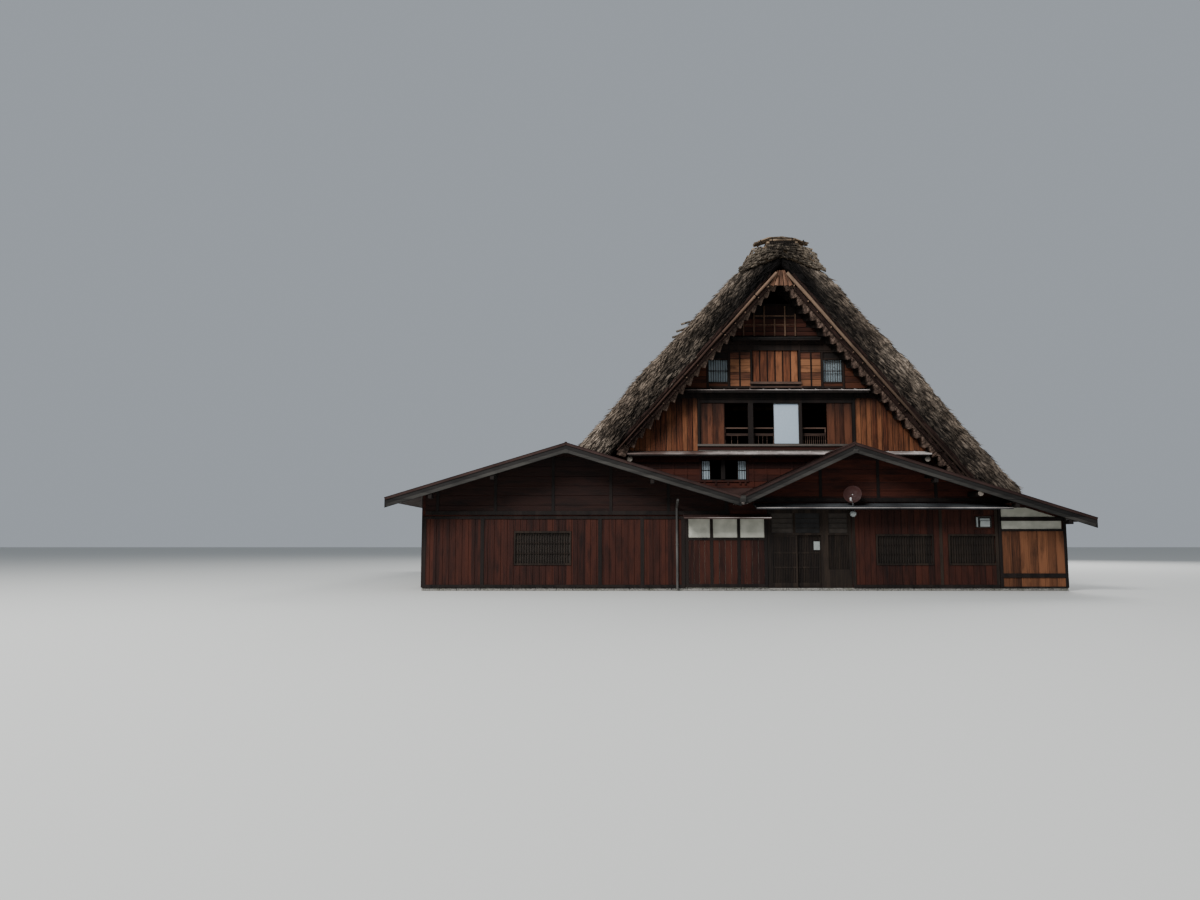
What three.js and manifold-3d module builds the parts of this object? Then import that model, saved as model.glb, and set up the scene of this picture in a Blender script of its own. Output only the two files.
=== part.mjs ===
// A gassho farmhouse: two steep slopes of thatch over boarded gables of four storeys, with low
// metal roofs over a wing on the left and over an entrance front at the foot of the front gable.
// Millimetres, Z up. X runs along the gable from its centre line, Y runs back from the outer face
// of the front gable wall, and Z is height above the ground. At the end the house is centred over
// its own footprint.

import * as THREE from 'three';
import { ConvexGeometry } from 'three/addons/geometries/ConvexGeometry.js';
import { mergeVertices } from 'three/addons/utils/BufferGeometryUtils.js';
import Module from 'manifold-3d';

const wasm = await Module();
wasm.setup();

// Driving dimensions
const GAP = 0.3;                 // left between pieces that touch
const HALF_BAY = 960;            // half a bay of the timber frame
const LENGTH = 20 * HALF_BAY;    // from gable wall to gable wall
const WALL = 120;                // a boarded wall on its posts
const APEX = 11680;              // where the undersides of the thatched slopes meet
const RISE = 1.106;              // rise of those slopes for each unit inwards
const FLOOR = 450;               // top of the raised ground floor
const PLINTH = 100;              // top of the sill stones
const SILL_STONE = 200;          // their width
const FIRST = 3300;              // foot of the low storey over the ground floor
const SECOND = 4800;             // foot of the window storey
const THIRD = 7180;              // foot of the storey above it
const LATTICE = 9320;            // foot of the slatted top of the gable
const VENT = 10600;              // above this the gable is open under the ridge
const WING_LEFT = -12500;        // outer face of the wing's side wall
const HOUSE_RIGHT = 7720;        // outer face of the house's right side wall
const BAY_RIGHT = 8870;          // outer face of the entrance front's right end
const FRONT = -3400;             // outer face of the entrance front
const VERGE = -4300;             // front edge of the low roofs
const ROOF_PLATE = 80;           // thickness of the low roofs
const AISLE = 5500;              // the two rows of inner posts stand this far from the centre
const LOG_RADIUS = 110;          // of the round logs that lie on those rows
const LOG_HEIGHT = 4660;         // height of their centre lines

// The undersides of the thatched slopes
const COS = 1 / Math.hypot(1, RISE);
const SIN = RISE * COS;
const underside = (x) => APEX - RISE * Math.abs(x);
const halfWidth = (z) => (APEX - z) / RISE;
const vergeReach = (z) => 600 + 0.13 * (z - 4000);
const onSlope = (along, below) => [along * COS - below * SIN, APEX - along * SIN - below * COS];

// The low roofs
const WING_RIDGE = -7710;
const FRONT_RIDGE = 1700;
const LOW_RIDGE_HEIGHT = 4790;
const WING_EAVE = -13560;
const FRONT_EAVE = 9430;
const VALLEY = -1980;
const BACK_VERGE = LENGTH + 900;
const WING_FALL = 0.305;
const FRONT_FALL_LEFT = 0.465;
const FRONT_FALL_RIGHT = 0.315;
const wingRoof = (x) => LOW_RIDGE_HEIGHT - WING_FALL * Math.abs(x - WING_RIDGE);
const frontRoof = (x) => LOW_RIDGE_HEIGHT
  - (x < FRONT_RIDGE ? FRONT_FALL_LEFT * (FRONT_RIDGE - x) : FRONT_FALL_RIGHT * (x - FRONT_RIDGE));

const house = new THREE.Group();

function place(name, geometry, material) {
  const mesh = new THREE.Mesh(geometry, material);
  mesh.name = name;
  house.add(mesh);
}

function finish(color, roughness, metalness = 0) {
  return new THREE.MeshStandardMaterial({ color, roughness, metalness });
}

const thatch = finish(0x6d6154, 1);
const freshReed = finish(0x8a7a62, 1);
const pole = finish(0x6b5a48, 0.9);
const darkTimber = finish(0x2c221d, 0.85);
const cedarBoards = finish(0x7d4a2c, 0.8);
const redBoards = finish(0x4c2a20, 0.85);
const greyBoards = finish(0x4a4440, 0.9);
const redMetal = finish(0x5f3d35, 0.5, 0.3);
const greyMetal = finish(0x8e8a84, 0.45, 0.6);
const plaster = finish(0xe6e3d6, 0.9);
const paper = finish(0xdfe8ee, 0.8);
const glass = finish(0x7f93a3, 0.2);
const floorBoards = finish(0x5a4637, 0.8);
const stone = finish(0x7a7771, 0.95);

// Shapes: an outline in one plane, given its thickness square to that plane, with holes cut through
function thicken(points, depth, steps = 1) {
  const shape = new THREE.Shape(points.map(([a, b]) => new THREE.Vector2(a, b)));
  return new THREE.ExtrudeGeometry(shape, { depth, steps, bevelEnabled: false });
}

function slabXZ(points, front, back, holes = [], steps = 1) {
  const slab = thicken(points, back - front, steps).rotateX(Math.PI / 2).translate(0, back, 0);
  return cut(slab, holes.map((hole) => slabXZ(hole, front - 1, back + 1)));
}

function slabYZ(points, left, right, holes = []) {
  const turn = new THREE.Matrix4().makeBasis(
    new THREE.Vector3(0, 1, 0),
    new THREE.Vector3(0, 0, 1),
    new THREE.Vector3(1, 0, 0),
  );
  const slab = thicken(points, right - left).applyMatrix4(turn).translate(left, 0, 0);
  return cut(slab, holes.map((hole) => slabYZ(hole, left - 1, right + 1)));
}

function slabXY(points, low, high, holes = []) {
  const slab = thicken(points, high - low).translate(0, 0, low);
  return cut(slab, holes.map((hole) => slabXY(hole, low - 1, high + 1)));
}

function block(left, right, front, back, low, high) {
  return new THREE.BoxGeometry(right - left, back - front, high - low)
    .translate((left + right) / 2, (front + back) / 2, (low + high) / 2);
}

function rect(left, right, low, high) {
  return [[left, low], [right, low], [right, high], [left, high]];
}

function round(x, z, radius, sides = 12) {
  const points = [];
  for (let i = 0; i < sides; i += 1) {
    const angle = (2 * Math.PI * (i + 0.5)) / sides;
    points.push([x + radius * Math.cos(angle), z + radius * Math.sin(angle)]);
  }
  return points;
}

function mirrored(points) {
  return points.map(([x, z]) => [-x, z]).reverse();
}

// Moves each vertex in Y or Z by a rule, for verges that lean and plates that follow a roof
function reshape(geometry, rule) {
  const spot = geometry.attributes.position;
  for (let i = 0; i < spot.count; i += 1) {
    const [x, y, z] = rule(spot.getX(i), spot.getY(i), spot.getZ(i));
    spot.setXYZ(i, x, y, z);
  }
  geometry.computeVertexNormals();
  return geometry;
}

function toSolid(geometry) {
  const bare = geometry.clone();
  bare.deleteAttribute('normal');
  bare.deleteAttribute('uv');
  const merged = mergeVertices(bare, 1e-3);
  return new wasm.Manifold(new wasm.Mesh({
    numProp: 3,
    vertProperties: new Float32Array(merged.attributes.position.array),
    triVerts: new Uint32Array(merged.index.array),
  }));
}

function toGeometry(solid) {
  const mesh = solid.getMesh();
  const shared = new THREE.BufferGeometry();
  shared.setAttribute('position', new THREE.BufferAttribute(mesh.vertProperties, 3));
  shared.setIndex(new THREE.BufferAttribute(mesh.triVerts, 1));
  const geometry = shared.toNonIndexed();
  geometry.computeVertexNormals();
  return geometry;
}

function join(geometries) {
  return toGeometry(geometries.map(toSolid).reduce((sum, solid) => sum.add(solid)));
}

function cut(geometry, tools) {
  if (tools.length === 0) {
    return geometry;
  }
  const rest = tools.map(toSolid).reduce((whole, tool) => whole.subtract(tool), toSolid(geometry));
  return toGeometry(rest);
}

// The thatch. Each slope is a metre thick and leans out over the gables, more so at the ridge. The
// left slope ends low down on the wing's roof, and the right one at an eave of its own.
const THATCH_TOP = [[1580, 11350], [2100, 10850], [4000, 8800], [6600, 5960]];
const THATCH_PEAK = 11900;
const WING_CLEAR = 40;
const WING_MEETS_THATCH = (APEX - LOW_RIDGE_HEIGHT - WING_CLEAR - WING_FALL * WING_RIDGE)
  / (RISE + WING_FALL);
const THATCH_EAVE = [[8000, 4330], [8760, 3620], [8850, 3420]];
const THATCH_FOOT = 7900;
const WING_END = [[7420, 5010], [7400, 4830]];
const WING_SEAT = -7330;

const SWELL = 60;                // how far the thatch rises and sinks
const SWELL_PITCH = 820;         // from a rise to the hollow beside it
const SWELL_STEPS = Math.round(LENGTH / SWELL_PITCH);

function leanVerges(geometry) {
  return reshape(geometry, (x, y, z) => {
    const reach = vergeReach(z);
    return [x, (y / LENGTH) * (LENGTH + 2 * reach) - reach, z];
  });
}

// The same line with more points on it, none much farther than the pitch from the next
function divided(points, pitch) {
  return points.slice(1).reduce((line, [x, z], i) => {
    const [lastX, lastZ] = points[i];
    const count = Math.ceil(Math.hypot(x - lastX, z - lastZ) / pitch);
    for (let k = 1; k <= count; k += 1) {
      line.push([lastX + ((x - lastX) * k) / count, lastZ + ((z - lastZ) * k) / count]);
    }
    return line;
  }, [points[0]]);
}

// Hand-trimmed thatch is uneven: its top rises and sinks without a pattern, but not at its edges
function swellTop(geometry) {
  const [from, to] = [THATCH_TOP[1][0], WING_END[1][0]];
  return reshape(geometry, (x, y, z) => {
    const across = Math.abs(x);
    const onTop = across > from + 1 && across < to && z > underside(x) + WALL;
    const rise = onTop ? SWELL * Math.sin(across / 71 + y / 43) : 0;
    return [x + Math.sign(x) * rise * SIN, y, z + rise * COS];
  });
}

function buildThatch() {
  const top = [THATCH_TOP[0], ...divided(THATCH_TOP.slice(1), SWELL_PITCH)];
  const right = [
    [GAP / 2, THATCH_PEAK], ...top, ...THATCH_EAVE, [THATCH_FOOT, underside(THATCH_FOOT)],
    [GAP / 2, APEX],
  ];
  const left = mirrored([
    [GAP / 2, THATCH_PEAK], ...top, ...WING_END, [-WING_SEAT, wingRoof(WING_SEAT) + WING_CLEAR],
    [WING_MEETS_THATCH, underside(WING_MEETS_THATCH)], [GAP / 2, APEX],
  ]);
  for (const [name, outline] of [['thatch_right', right], ['thatch_left', left]]) {
    const slope = slabXZ(outline, 0, LENGTH, [], SWELL_STEPS);
    place(name, leanVerges(swellTop(slope)), thatch);
  }
}

// The ridge: a saddle of reed over both slopes, held down by bundles that lie across it
const BUNDLES = 12;
const BUNDLE_WIDTH = 500;
const FIRST_BUNDLE = -1433;
const SADDLE_HALF = 1560;

function buildRidge() {
  const [crest, crestFoot] = THATCH_TOP[0];
  const seat = (x) => THATCH_PEAK + GAP - ((THATCH_PEAK - crestFoot) * x) / crest;
  const side = [
    [560, 12310], [1060, 12140], [1240, 11880], [1370, 11580], [1540, 11440],
    [SADDLE_HALF, seat(SADDLE_HALF)],
  ];
  const saddle = [[0, 12330], ...side, [0, seat(0)], ...mirrored(side)];
  const half = [[500, 12540], [950, 12420], [950, 12340], [600, 12250]];
  const bundle = [[0, 12620], ...half, ...mirrored(half)];
  const spacing = (LENGTH - 2 * FIRST_BUNDLE) / (BUNDLES - 1);
  const pieces = [leanVerges(slabXZ(saddle, 0, LENGTH))];
  for (let i = 0; i < BUNDLES; i += 1) {
    const middle = FIRST_BUNDLE + i * spacing;
    pieces.push(slabXZ(bundle, middle - BUNDLE_WIDTH / 2, middle + BUNDLE_WIDTH / 2));
  }
  place('ridge_thatch', join(pieces), freshReed);
}

// Under each verge the reed is laid in bundles like a flight of steps, behind a pole
const STEP_PITCH = 370;
const STEP_SHALLOW = 150;
const STEP_DEEP = 320;
const FIRST_STEP = 450;
const STEPS_RIGHT = 27;
const STEPS_LEFT = 23;
const STEPS_BEHIND_VERGE = 300;
const POLE_DEPTH = 140;
const POLE_BEHIND_VERGE = [30, 170];
const POLE_LENGTH_RIGHT = 11000;
const POLE_LENGTH_LEFT = 9000;

function stepEdge(count) {
  const edge = [[0, APEX - STEP_SHALLOW / COS]];
  for (let i = 0; i < count; i += 1) {
    const along = FIRST_STEP + i * STEP_PITCH;
    edge.push(onSlope(along, STEP_SHALLOW), onSlope(along + STEP_PITCH, STEP_DEEP));
  }
  const end = FIRST_STEP + count * STEP_PITCH;
  return [...edge, onSlope(end + 1, GAP)];
}

function chevron(rightEdge, leftEdge) {
  return [...rightEdge, [0, APEX - GAP / COS], ...mirrored(leftEdge).slice(0, -1)];
}

// Between two distances behind the leaning verge, or from one of them in to the wall, at either gable
function alongVerge(outline, atFront, near, far) {
  return reshape(slabXZ(outline, 0, 1), (x, y, z) => {
    const outer = vergeReach(z) - near;
    const inner = far === null ? GAP : vergeReach(z) - far;
    const reach = (y < 0.5) === atFront ? outer : inner;
    return [x, atFront ? -reach : LENGTH + reach, z];
  });
}

function buildVerges() {
  const steps = chevron(stepEdge(STEPS_RIGHT), stepEdge(STEPS_LEFT));
  const poleEdge = (end) => [
    [0, APEX - POLE_DEPTH / COS], onSlope(end, POLE_DEPTH), onSlope(end, GAP),
  ];
  const poles = chevron(poleEdge(POLE_LENGTH_RIGHT), poleEdge(POLE_LENGTH_LEFT));
  for (const [side, atFront] of [['front', true], ['back', false]]) {
    place(`${side}_verge_steps`, alongVerge(steps, atFront, STEPS_BEHIND_VERGE, null), thatch);
    place(`${side}_barge_poles`, alongVerge(poles, atFront, ...POLE_BEHIND_VERGE), pole);
  }
}

// The rafters of each slope, with the poles that lie across them
const RAFTERS = 8;
const RAFTER_WIDTH = 160;
const RAFTER_DEPTH = 298;
const FIRST_RAFTER = 380;
const POLE_WIDTH = 120;
const POLE_INSET = 40;
const POLES_ALONG = [1500, 4000, 6500, 9000];

function rafterBand(from, to, side, inset) {
  const top = (x) => underside(x) - 2 * GAP - inset;
  const low = (x) => underside(x) - RAFTER_DEPTH + inset;
  const band = [[from, top(from)], [from, low(from)], [to, low(to)], [to, top(to)]];
  return side > 0 ? band : mirrored(band);
}

function buildRafters(name, side, foot) {
  const spacing = (LENGTH - 2 * FIRST_RAFTER) / (RAFTERS - 1);
  const pieces = [];
  for (let i = 0; i < RAFTERS; i += 1) {
    const front = FIRST_RAFTER + i * spacing - RAFTER_WIDTH / 2;
    pieces.push(slabXZ(rafterBand(GAP, foot, side, 0), front, front + RAFTER_WIDTH));
  }
  for (const along of POLES_ALONG) {
    const from = along * COS;
    const band = rafterBand(from, from + POLE_WIDTH, side, POLE_INSET);
    pieces.push(slabXZ(band, WALL + 10, LENGTH - WALL - 10));
  }
  place(name, join(pieces), darkTimber);
}

// The inner frame: two rows of posts, each under a beam and a round log that shows at the gable
const POSTS = 8;
const POST = 200;
const FIRST_POST = 230;
const TIE_LOW = 2850;
const TIE_HIGH = 3050;
const TIE_HALF = 80;
const LOG_SHOWS = 300;
const LOFT_LEFT = -6745;         // the low storey's wall ends here, over the wing's roof
const GIRDER_DEPTH = 400;
const GIRDER_POSTS = [-3300, 0, 3300];

function postPlace(i) {
  return FIRST_POST + (i * (LENGTH - 2 * FIRST_POST)) / (POSTS - 1);
}

function buildPostRows() {
  for (const [name, x] of [['left_post_row', -AISLE], ['right_post_row', AISLE]]) {
    const pieces = [
      slabXZ(round(x, LOG_HEIGHT, LOG_RADIUS), -LOG_SHOWS, LENGTH + LOG_SHOWS),
      block(x - TIE_HALF, x + TIE_HALF, WALL + 20, LENGTH - WALL - 20, TIE_LOW, TIE_HIGH),
    ];
    for (let i = 0; i < POSTS; i += 1) {
      const y = postPlace(i);
      pieces.push(block(x - POST / 2, x + POST / 2, y - 90, y + 90, FLOOR + GAP, LOG_HEIGHT));
    }
    place(name, join(pieces), darkTimber);
  }
  const girder = [block(LOFT_LEFT, halfWidth(FIRST) - 1, 0, WALL, FIRST - GIRDER_DEPTH, FIRST)];
  for (const x of GIRDER_POSTS) {
    girder.push(block(x - 90, x + 90, 0, WALL, 0, FIRST - 200));
  }
  place('front_girder', join(girder), darkTimber);
}

// The floors
const DECK = 60;
const SECOND_FLOOR = 5030;
const THIRD_FLOOR = 7310;
const SLEEPERS = [-12200, -9000, -AISLE, -1900, 1900, AISLE, 7400];

function storeyFloor(name, boardsTop, boards, beams, beamPlaces) {
  const inner = (z) => halfWidth(z) - (RAFTER_DEPTH + 4 * GAP) / RISE;
  const band = (low, high, front, back) => slabXZ(
    [[-inner(low), low], [inner(low), low], [inner(high), high], [-inner(high), high]], front, back);
  const boardsLow = boardsTop - boards;
  const pieces = [band(boardsLow, boardsTop, WALL + GAP, LENGTH - WALL - GAP)];
  for (const y of beamPlaces) {
    pieces.push(band(boardsLow - beams, boardsLow + 1, y - 80, y + 80));
  }
  place(name, join(pieces), floorBoards);
}

function buildFloors() {
  const sleepers = SLEEPERS.map((x) => (
    block(x - 70, x + 70, WALL + GAP, LENGTH - SILL_STONE - 10, 0, FLOOR - 50)));
  const deck = block(
    WING_LEFT + WALL + GAP, HOUSE_RIGHT - WALL - GAP, WALL + GAP, LENGTH - WALL - GAP,
    FLOOR - DECK, FLOOR,
  );
  place('main_floor', join([deck, ...sleepers]), floorBoards);
  const inset = SILL_STONE + GAP;
  place('entrance_floor', slabXY([
    [WING_LEFT + inset, FRONT + inset], [BAY_RIGHT - inset, FRONT + inset], [BAY_RIGHT - inset, -inset],
    [HOUSE_RIGHT - inset, -inset], [HOUSE_RIGHT - inset, -GAP], [WING_LEFT + inset, -GAP],
  ], 0, PLINTH), stone);
  const between = [];
  for (let i = 0; i < POSTS - 1; i += 1) {
    between.push((postPlace(i) + postPlace(i + 1)) / 2);
  }
  const loft = [block(-5380, 5380, WALL + GAP, LENGTH - WALL - GAP, FIRST - 50, FIRST)];
  for (const y of between) {
    loft.push(block(-5560, 5560, y - 70, y + 70, TIE_HIGH + GAP, FIRST - 40));
  }
  place('mezzanine_floor', join(loft), floorBoards);
  storeyFloor('second_floor', SECOND_FLOOR, 40, 219, between);
  storeyFloor('third_floor', THIRD_FLOOR, 40, 150, between);
}

// The front gable, storey by storey
const EDGE = 0.4;

function storeyOutline(low, high) {
  const foot = halfWidth(low) - EDGE;
  const head = halfWidth(high) - EDGE;
  return [[-foot, low], [foot, low], [head, high - GAP], [-head, high - GAP]];
}

function lowStoreyOutline() {
  const head = halfWidth(SECOND) - EDGE;
  return [
    [LOFT_LEFT, FIRST + GAP], [halfWidth(FIRST) - 1, FIRST + GAP], [head, SECOND - GAP],
    [-head, SECOND - GAP], [-WING_MEETS_THATCH + 1, underside(WING_MEETS_THATCH) - 1],
    [LOFT_LEFT, wingRoof(LOFT_LEFT) + WING_CLEAR - 1],
  ];
}

const LOG_HOLES = [-AISLE, AISLE].map((x) => round(x, LOG_HEIGHT, LOG_RADIUS + GAP));
const LOFT_WINDOW = [-2830, -1150, 3880, 4640];
const SASH = 340;
const LOFT_POST = [-2100, -1940];
const SILL = 5240;
const HEAD = 6790;
const WINDOWS = [[-2830, -1055], [-865, 850], [960, 2830]];
const SHUTTERS = { front_shutter_left: [-2830, -1930], front_shutter_right: [1880, 2830] };
const SCREEN = [-100, 850];
const SMALL_WINDOW = [1800, 2510, 7580, 8440];
const BOARD_DOOR = [-870, 870, 7600, 8980];
const RAIL_ENDS = [-1925, 1875];
const RAILS = [[5560, 5660], [5830, 5880]];
const RAIL = 40;
const BALUSTER_PITCH = 250;

function buildFrontGable() {
  // The low storey's wall is made in two lengths, which meet at the right side of its window
  const seam = LOFT_WINDOW[1];
  const beyond = halfWidth(FIRST);
  place('front_wall_mezzanine', slabXZ(lowStoreyOutline(), 0, WALL, [
    ...LOG_HOLES, rect(...LOFT_WINDOW), rect(seam - GAP, beyond, FIRST, SECOND),
  ]), redBoards);
  place('front_wall_mezzanine_right', slabXZ(lowStoreyOutline(), 0, WALL, [
    ...LOG_HOLES, rect(-beyond, seam, FIRST, SECOND),
  ]), redBoards);
  place('front_wall_second', slabXZ(storeyOutline(SECOND, THIRD), 0, WALL,
    WINDOWS.map(([left, right]) => rect(left, right, SILL, HEAD))), cedarBoards);
  const [near, far, low, high] = SMALL_WINDOW;
  place('front_wall_third', slabXZ(storeyOutline(THIRD, LATTICE), 0, WALL, [
    rect(near, far, low, high), rect(-far, -near, low, high), rect(...BOARD_DOOR),
  ]), redBoards);
  place('front_wall_lattice', slabXZ(storeyOutline(LATTICE, VENT), 40, 80), darkTimber);
}

// What stands in the openings of the front gable
function buildGableFittings() {
  const [left, right, low, high] = LOFT_WINDOW;
  const sill = block(left + GAP, right - GAP, 10, 60, low + GAP, low + 40);
  const sashes = [
    block(left + GAP, left + SASH, 10, 60, low + GAP, high - GAP),
    block(right - SASH, right - GAP, 10, 60, low + GAP, high - GAP),
    block(...LOFT_POST, 10, 60, low + GAP, high - GAP),
  ];
  place('mezzanine_window', join([sill, ...sashes]), darkTimber);
  for (const [name, [from, to]] of Object.entries(SHUTTERS)) {
    const inset = from < 0 ? [from + GAP, to] : [from, to - GAP];
    place(name, block(...inset, 5, 35, SILL + GAP, HEAD - GAP), cedarBoards);
  }
  place('front_screen', block(SCREEN[0], SCREEN[1] - GAP, 60, 76, SILL + GAP, HEAD - GAP), paper);
  const rails = RAILS.map(([foot, top]) => block(...RAIL_ENDS, WALL + GAP, WALL + RAIL, foot, top));
  for (let x = RAIL_ENDS[0] + 20; x < RAIL_ENDS[1]; x += BALUSTER_PITCH) {
    rails.push(block(x - 20, x + 20, WALL + 10, WALL + RAIL - 10, SECOND_FLOOR + GAP, RAILS[1][0] + 20));
  }
  place('front_railing', join(rails), darkTimber);
  const [from, to, foot, top] = BOARD_DOOR;
  place('third_board_door', block(from + GAP, to - GAP, 30, 80, foot + GAP, top - GAP), cedarBoards);
  place('third_panes', block(-2590, 2590, WALL + GAP, WALL + 6, 7500, 8500), glass);
}

// Narrow pent roofs that throw the rain clear of each storey
const PENTS = {
  lower: { halfWidth: 5600, top: 4970, fall: 120, reach: 450 },
  middle: { halfWidth: 3440, top: 7320, fall: 90, reach: 350 },
  upper: { halfWidth: 1680, top: 9300, fall: 80, reach: 300 },
};
const PENT_PLATE = 40;

function pentPlate({ halfWidth: half, top, fall, reach }, atFront) {
  const edge = top - fall;
  const section = [[-GAP, top], [-GAP, top - PENT_PLATE], [-reach, edge - PENT_PLATE], [-reach, edge]];
  const turned = section.map(([y, z]) => [atFront ? y : LENGTH - y, z]);
  return slabYZ(turned, -half, half);
}

function buildPents() {
  for (const [name, pent] of Object.entries(PENTS)) {
    place(`${name}_pent`, pentPlate(pent, true), greyMetal);
  }
}

// The back gable repeats the storeys, with its pents fixed to its boards
function buildBackGable() {
  const front = LENGTH - WALL;
  const seated = (pent) => pentPlate(pent, false).translate(0, -2 * GAP, 0);
  place('back_wall_lower', slabXZ(lowStoreyOutline(), front, LENGTH, LOG_HOLES), redBoards);
  place('back_wall_second', join([
    slabXZ(storeyOutline(SECOND, THIRD), front, LENGTH), seated(PENTS.lower),
  ]), cedarBoards);
  place('back_wall_third', join([
    slabXZ(storeyOutline(THIRD, VENT), front, LENGTH), seated(PENTS.middle), seated(PENTS.upper),
  ]), redBoards);
}

// The low roofs of the wing and of the entrance front
function roofPlate(plan, surface) {
  return reshape(slabXY(plan, -ROOF_PLATE, 0), (x, y, z) => [x, y, z + surface(x)]);
}

const WING_GUTTER_EDGE = -2080;
const FRONT_GUTTER_EDGE = -1880;
const STRIP_EDGE = -6750;        // behind the front gable the inner slope ends here
const NOTCH = 2840;
const VERGE_BOARD = 300;
const VERGE_BOARD_THICK = 40;
const GUTTER = [-2160, -1810];
const GUTTER_TOP = 2985;
const GUTTER_SHEET = 20;

function buildLowRoofs() {
  const outer = rect(WING_EAVE, WING_RIDGE - GAP, VERGE, BACK_VERGE);
  place('wing_roof_outer', roofPlate(outer, wingRoof), redMetal);
  place('wing_roof_inner', roofPlate([
    [WING_RIDGE, VERGE], [WING_GUTTER_EDGE, VERGE], [WING_GUTTER_EDGE, -GAP], [STRIP_EDGE, -GAP],
    [STRIP_EDGE, BACK_VERGE], [WING_RIDGE, BACK_VERGE],
  ], wingRoof), redMetal);
  const left = rect(FRONT_GUTTER_EDGE, FRONT_RIDGE - GAP, VERGE, -GAP);
  place('entrance_roof_left', roofPlate(left, frontRoof), redMetal);
  const right = rect(FRONT_RIDGE, FRONT_EAVE, VERGE, -GAP);
  place('entrance_roof_right', roofPlate(right, frontRoof), redMetal);
  const verge = (from, ridge, to, surface) => slabXZ([
    [from, surface(from)], [from, surface(from) - VERGE_BOARD], [ridge, surface(ridge) - VERGE_BOARD],
    [to, surface(to) - VERGE_BOARD], [to, surface(to)], [ridge, surface(ridge)],
  ], VERGE - VERGE_BOARD_THICK, VERGE - GAP);
  place('wing_verge_board', verge(WING_EAVE, WING_RIDGE, VALLEY - 50, wingRoof), greyBoards);
  place('entrance_verge_board', verge(VALLEY + 50, FRONT_RIDGE, FRONT_EAVE, frontRoof), greyBoards);
  const [near, far] = GUTTER;
  place('valley_gutter', slabXZ([
    [near, GUTTER_TOP], [near, NOTCH + GAP], [far, NOTCH + GAP], [far, GUTTER_TOP],
    [far - GUTTER_SHEET, GUTTER_TOP], [far - GUTTER_SHEET, NOTCH + GUTTER_SHEET],
    [near + GUTTER_SHEET, NOTCH + GUTTER_SHEET], [near + GUTTER_SHEET, GUTTER_TOP],
  ], VERGE + GUTTER_SHEET, -2 * GAP), greyMetal);
}

// A small roof turns the water from the gable down into the valley
function buildValleyPent() {
  const top = 3600;
  const left = WING_RIDGE + (LOW_RIDGE_HEIGHT - top) / WING_FALL;
  const right = FRONT_RIDGE - (LOW_RIDGE_HEIGHT - top) / FRONT_FALL_LEFT;
  const tip = [VALLEY, -1800, 3110];
  const corners = [[left, -1, top], [right, -1, top], [VALLEY, -1, frontRoof(VALLEY)], tip];
  place('valley_pent', new ConvexGeometry(
    corners.map(([x, y, z]) => new THREE.Vector3(x, y, z + 2 * GAP))), redMetal);
}

function entrancePent(left, right, reach, top, fall) {
  const edge = top - fall;
  return slabYZ([
    [FRONT - GAP, top], [FRONT - GAP, top - 50], [FRONT - reach, edge - 50], [FRONT - reach, edge],
  ], left, right);
}

// The timbers that carry the low roofs: purlins on a tie beam, with struts between
const PURLINS = [
  [-10100, wingRoof, BACK_VERGE - 10], [WING_RIDGE, wingRoof, BACK_VERGE - 10], [-4900, wingRoof, -GAP],
  [FRONT_RIDGE, frontRoof, -GAP], [4300, frontRoof, -GAP], [6900, frontRoof, -GAP],
];
const PURLIN_WIDTH = 140;
const PURLIN_DEPTH = 160;
const TIE_BEAM = [-3270, -3120];
const TIE_DEPTH = 200;
const STRUT_HALF = 60;
const WING_POSTS = [6400, 12800];

function purlin(x, surface, back, more) {
  const width = PURLIN_WIDTH / 2 + more;
  const crown = surface === wingRoof ? WING_RIDGE : FRONT_RIDGE;
  const top = (at) => surface(at) - ROOF_PLATE - GAP + more;
  const low = Math.min(top(x - width), top(x + width)) - PURLIN_DEPTH - more;
  const middle = x === crown ? [[x, top(x)]] : [];
  return slabXZ([
    [x - width, low], [x + width, low], [x + width, top(x + width)], ...middle, [x - width, top(x - width)],
  ], VERGE + 10, back);
}

function buildWingFrame() {
  const [near, far] = TIE_BEAM;
  const pieces = [block(WING_LEFT + WALL + GAP, 7500, near, far, NOTCH - TIE_DEPTH, NOTCH)];
  for (const [x, surface, back] of PURLINS) {
    const foot = surface(x) - ROOF_PLATE - PURLIN_DEPTH;
    pieces.push(purlin(x, surface, back, 0));
    const [left, right] = [x - STRUT_HALF, x + STRUT_HALF];
    pieces.push(block(left, right, near + 10, far - 10, NOTCH - 20, foot));
    if (back > 0) {
      for (const y of WING_POSTS) {
        pieces.push(block(left, right, y - STRUT_HALF, y + STRUT_HALF, FLOOR + GAP, foot));
      }
    }
  }
  place('wing_frame', join(pieces), darkTimber);
}

// The walls of the ground floor
const WALL_FOOT = PLINTH + GAP;
const BOARDS_FOOT = 2450;
const PENT_LINE = 2850;
const PLASTER_LEFT = -3770;
const ENTRANCE_LEFT = -1050;
const ENTRANCE_RIGHT = 1750;
const BAY_LEFT = 6600;
const HALL_LEFT = -1799;
const LEFT_FRONT_WINDOW = [-9400, -7600, 900, 1900];
const RIGHT_FRONT_WINDOWS = [[5870, 6400, 2070, 2450], [5000, 6500, 900, 1800], [2600, 4400, 900, 1800]];
const SIDE_WINDOWS = { width: 1600, low: 1100, high: 2100 };
const RIGHT_SIDE_PLACES = [3200, 9600, 16000];
const LEFT_SIDE_PLACES = [400, 7900, 15400];
const BACK_PLACES = [-3900, 0, 3900];

function underRoof(surface, x) {
  return [x, surface(x) - ROOF_PLATE - GAP];
}

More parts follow.
